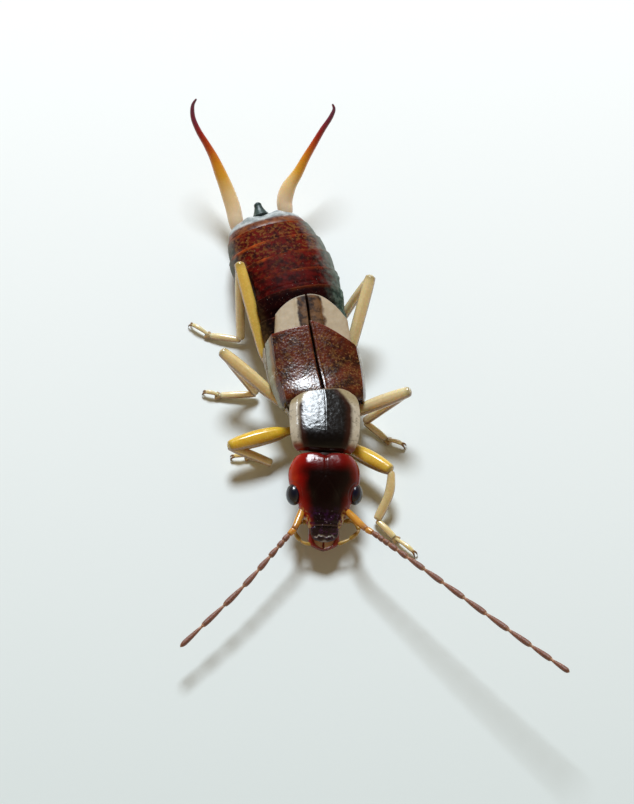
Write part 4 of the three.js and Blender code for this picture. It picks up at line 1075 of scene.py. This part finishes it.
# ------------------------------------------------------------------ legs
def make_legs():
    for name, L in LEGS.items():
        tint = {"fore_right": (1.0, .45), "fore_left": (.95, .35), "mid_right": (.38, .14), "mid_left": (.16, .08),
                "hind_right": (.84, .15), "hind_left": (.26, .08)}[name]
        taper = {"fore": (.14, .88, .90, .70, .56), "mid": (.15, .92, .95, .82, .68), "hind": (.155, .93, .98, .90, .80)}[name.split("_")[0]]
        hip, neck, knee, ankle = (np.array(L[k]) for k in ("hip", "neck", "knee", "ankle"))
        def part(bag, label, node):
            count = sum(len(x) for x in bag.v)
            bag.a["gold"] = [np.full(count, tint[0] if node == "femur" else tint[1])]
            bag.a["brown"] = [(np.concatenate(bag.a["part"]) == 1) * (1.0 if node == "tarsus" else 0.0)]
            bag.build(f"leg_{name}_{label}", mat["leg"], "leg", [f"leg_{name}_{node}"])

        q = stations(40)
        bag = Bag()
        path, _, _ = curve([hip, lerp(hip, neck, .85)], q)
        limb(bag, path, lerp(.27, .20, q) * (ends(q, .10) * .7 + .3), lerp(.27, .20, q) * (ends(q, .10) * .7 + .3), 44, part=0)
        path, _, _ = curve([lerp(hip, neck, .70), lerp(neck, knee, .04)], q)
        limb(bag, path, .165 * (ends(q, .3) * .8 + .2), .165 * (ends(q, .3) * .8 + .2), 36, part=1)
        part(bag, "hip", "coxa")

        # thigh: a little deeper than wide, keeled above and below
        F = L["femur"]
        q = stations(100)
        path, _, _ = curve([neck, lerp(neck, knee, .5) + np.array([0, 0, .035]), knee], q)
        r = along([[0, .12], [.08, taper[0]], [.28, F * taper[1]], [.54, F], [.80, F * taper[2]], [.95, F * taper[3]], [1, F * taper[4]]], q) * (ends(q, .022) * .7 + .3)
        bag = Bag()
        limb(bag, path, r, r * .94, 56, relief=lambda t, a: .010 * np.exp(-((np.cos(a)) / .16) ** 2) * smooth(.05, .2, t) * smooth(.95, .8, t) - .008)
        knob = stations(30)
        d = (knee - neck) / np.linalg.norm(knee - neck)
        path, _, _ = curve([knee - d * .16, knee + d * .02], knob)
        limb(bag, path, .125 * (ends(knob, .45) * .9 + .1), .120 * (ends(knob, .45) * .9 + .1), 36, part=2)
        part(bag, "thigh", "femur")

        # shin: slightly bowed
        q = stations(90)
        d = (ankle - knee) / np.linalg.norm(ankle - knee)
        foot_top = np.array([ankle[0], ankle[1], .20])
        bow = np.cross(d, [0, 0, 1.0])
        bow = np.cross(bow, d) * .03 if np.linalg.norm(bow) > .05 else 0
        if name == "fore_left":
            bow = bow + np.array([.13, 0, 0])
        path, _, _ = curve([knee, lerp(knee, foot_top, .45) + bow, foot_top], q)
        r = along([[0, .075], [.05, .105], [.12, .118], [.35, .142], [.75, .140], [.94, .130], [1, .110]], q) * (ends(q, .03) * .8 + .2)
        bag = Bag()
        limb(bag, path, r, r * .95, 44)
        part(bag, "shin", "tibia")

        # foot: long first joint, a lobed second one on the floor, a slim raised third one and two claws
        pad, toe = np.array([*L["pad"], 0.0]), np.array([*L["toe"], 0.0])
        ahead = toe - pad
        ahead /= np.linalg.norm(ahead)
        across = np.array([-ahead[1], ahead[0], 0])
        bag = Bag()
        q = stations(60)
        path, _, _ = curve([foot_top + [0, 0, -.02], lerp(foot_top, pad + [0, 0, .11], .5) + [0, 0, .005], pad + [0, 0, .105]], q)
        r = along([[0, .080], [.2, .100], [.7, .108], [1, .092]], q) * (ends(q, .05) * .8 + .2)
        limb(bag, path, r, r * .95, 32, part=0, lift=.002)
        q = stations(36)
        path, _, _ = curve([pad - ahead * .10 + [0, 0, .10], pad + ahead * .02 + [0, 0, .085], pad + ahead * .15 + [0, 0, .065]], q)
        wide = along([[0, .070], [.45, .115], [.78, .150], [1, .110]], q) * (ends(q, .15) * .85 + .15)
        limb(bag, path, wide, along([[0, .075], [.5, .075], [1, .050]], q) * (ends(q, .15) * .85 + .15), 36, part=1, lift=0.0)
        q = stations(60)
        tip = toe - ahead * .13
        path, _, _ = curve([pad + ahead * .04 + [0, 0, .12], lerp(pad, tip, .35) + [0, 0, .175], lerp(pad, tip, .75) + [0, 0, .200], tip + [0, 0, .170]], q)
        r = along([[0, .048], [.3, .056], [.75, .068], [1, .055]], q) * (ends(q, .06) * .8 + .2)
        limb(bag, path, r, r, 28, part=2)
        part(bag, "foot", "tarsus")
        bag = Bag()
        for g in (-1, 1):
            q = stations(40)
            path, _, _ = curve([tip - ahead * .02 + across * g * .018 + [0, 0, .165], tip + ahead * .055 + across * g * .040 + [0, 0, .150],
                                tip + ahead * .100 + across * g * .055 + [0, 0, .085], tip + ahead * .115 + across * g * .060 + [0, 0, .006]], q)
            r = along([[0, .034], [.4, .029], [.8, .015], [1, .004]], q)
            limb(bag, path, r, r, 16, part=g, up=tuple(ahead + [0, 0, .01]), lift=0.0)
        bag.build(f"leg_{name}_claws", mat["claw"], "leg", [f"leg_{name}_tarsus"])


make_head()
make_antennae()
make_covers()
make_body()
make_forceps()
make_legs()


# ------------------------------------------------------------------ floor, light and camera
def stage():
    bag = Bag()
    me = bpy.data.meshes.new("floor")
    g = np.linspace(-.25, .25, 41)
    X, Y = np.meshgrid(g, g)
    v = np.stack([X, Y, np.zeros_like(X)], -1).reshape(-1, 3)
    i = np.arange(41 * 41).reshape(41, 41)
    q = np.stack([i[:-1, :-1], i[:-1, 1:], i[1:, 1:], i[1:, :-1]], -1).reshape(-1, 4)
    me.from_pydata(v.tolist(), [], q.tolist())
    ob = bpy.data.objects.new("floor", me)
    bpy.context.scene.collection.objects.link(ob)
    n = Nodes("floor")
    place = n.new("ShaderNodeSeparateXYZ")
    n.put(place.inputs[0], n.here())
    # painted light falloff: the floor is painted darker and bluer towards the camera (low y) and lighter towards the
    # lamp
    painted_falloff = n.ramp(n.range(place.outputs[1], -.022, .018, soft=False), (0, (.68, .76, .765)), (.45, (.785, .835, .84)), (1, (.90, .91, .91)))
    n.colour(n.mix(n.math("MULTIPLY", n.noise(60, 3), .15), painted_falloff, (.80, .85, .85)))
    n.roughness(.75)
    n.bump((n.noise(3000, 2), 1e-6))
    n.bsdf.inputs["Specular IOR Level"].default_value = .15
    me.materials.append(n.mat)

    world = bpy.data.worlds.new("studio")
    bpy.context.scene.world = world
    world.use_nodes = True
    nt = world.node_tree
    bg = nt.nodes["Background"]
    bg.inputs[0].default_value = (1.0, .76, .46, 1)
    # a dim warm room: darkest overhead, lighter towards the horizon
    at = nt.nodes.new("ShaderNodeTexCoord").outputs["Generated"]
    split = nt.nodes.new("ShaderNodeSeparateXYZ")
    nt.links.new(at, split.inputs[0])
    r = nt.nodes.new("ShaderNodeMapRange")
    for k, v in enumerate((0.0, .95, .60, .09)):
        r.inputs[k + 1].default_value = v
    nt.links.new(split.outputs[2], r.inputs[0])
    nt.links.new(r.outputs[0], bg.inputs[1])

    def lamp(name, at, energy, size, colour):
        data = bpy.data.lights.new(name, "AREA")
        data.shape, data.size, data.energy, data.color = "DISK", size, energy, colour
        ob = bpy.data.objects.new(name, data)
        bpy.context.scene.collection.objects.link(ob)
        ob.location = at
        ob.rotation_euler = (-Vector(at)).to_track_quat("-Z", "Y").to_euler()
    d = Vector((-.06, .78, 1.0)).normalized()
    lamp("key", d * .19, .415, .062, (.86, .935, 1.0))

    bpy.context.scene.view_settings.view_transform = "Standard"
    bpy.context.scene.view_settings.look = "None"
    bpy.context.scene.view_settings.exposure = 0.0

    target = Vector((-.001581, -.000586, .0020))
    e = math.radians(57)
    back = Vector((0, -math.cos(e), math.sin(e)))
    data = bpy.data.cameras.new("camera")
    data.sensor_width = 36
    data.lens = 165.5
    data.clip_start, data.clip_end = .002, 5
    cam = bpy.data.objects.new("camera", data)
    bpy.context.scene.collection.objects.link(cam)
    cam.location = target + back * .110
    cam.rotation_mode = "QUATERNION"
    cam.rotation_quaternion = (-back).to_track_quat("-Z", "Y")
    bpy.context.scene.camera = cam


stage()
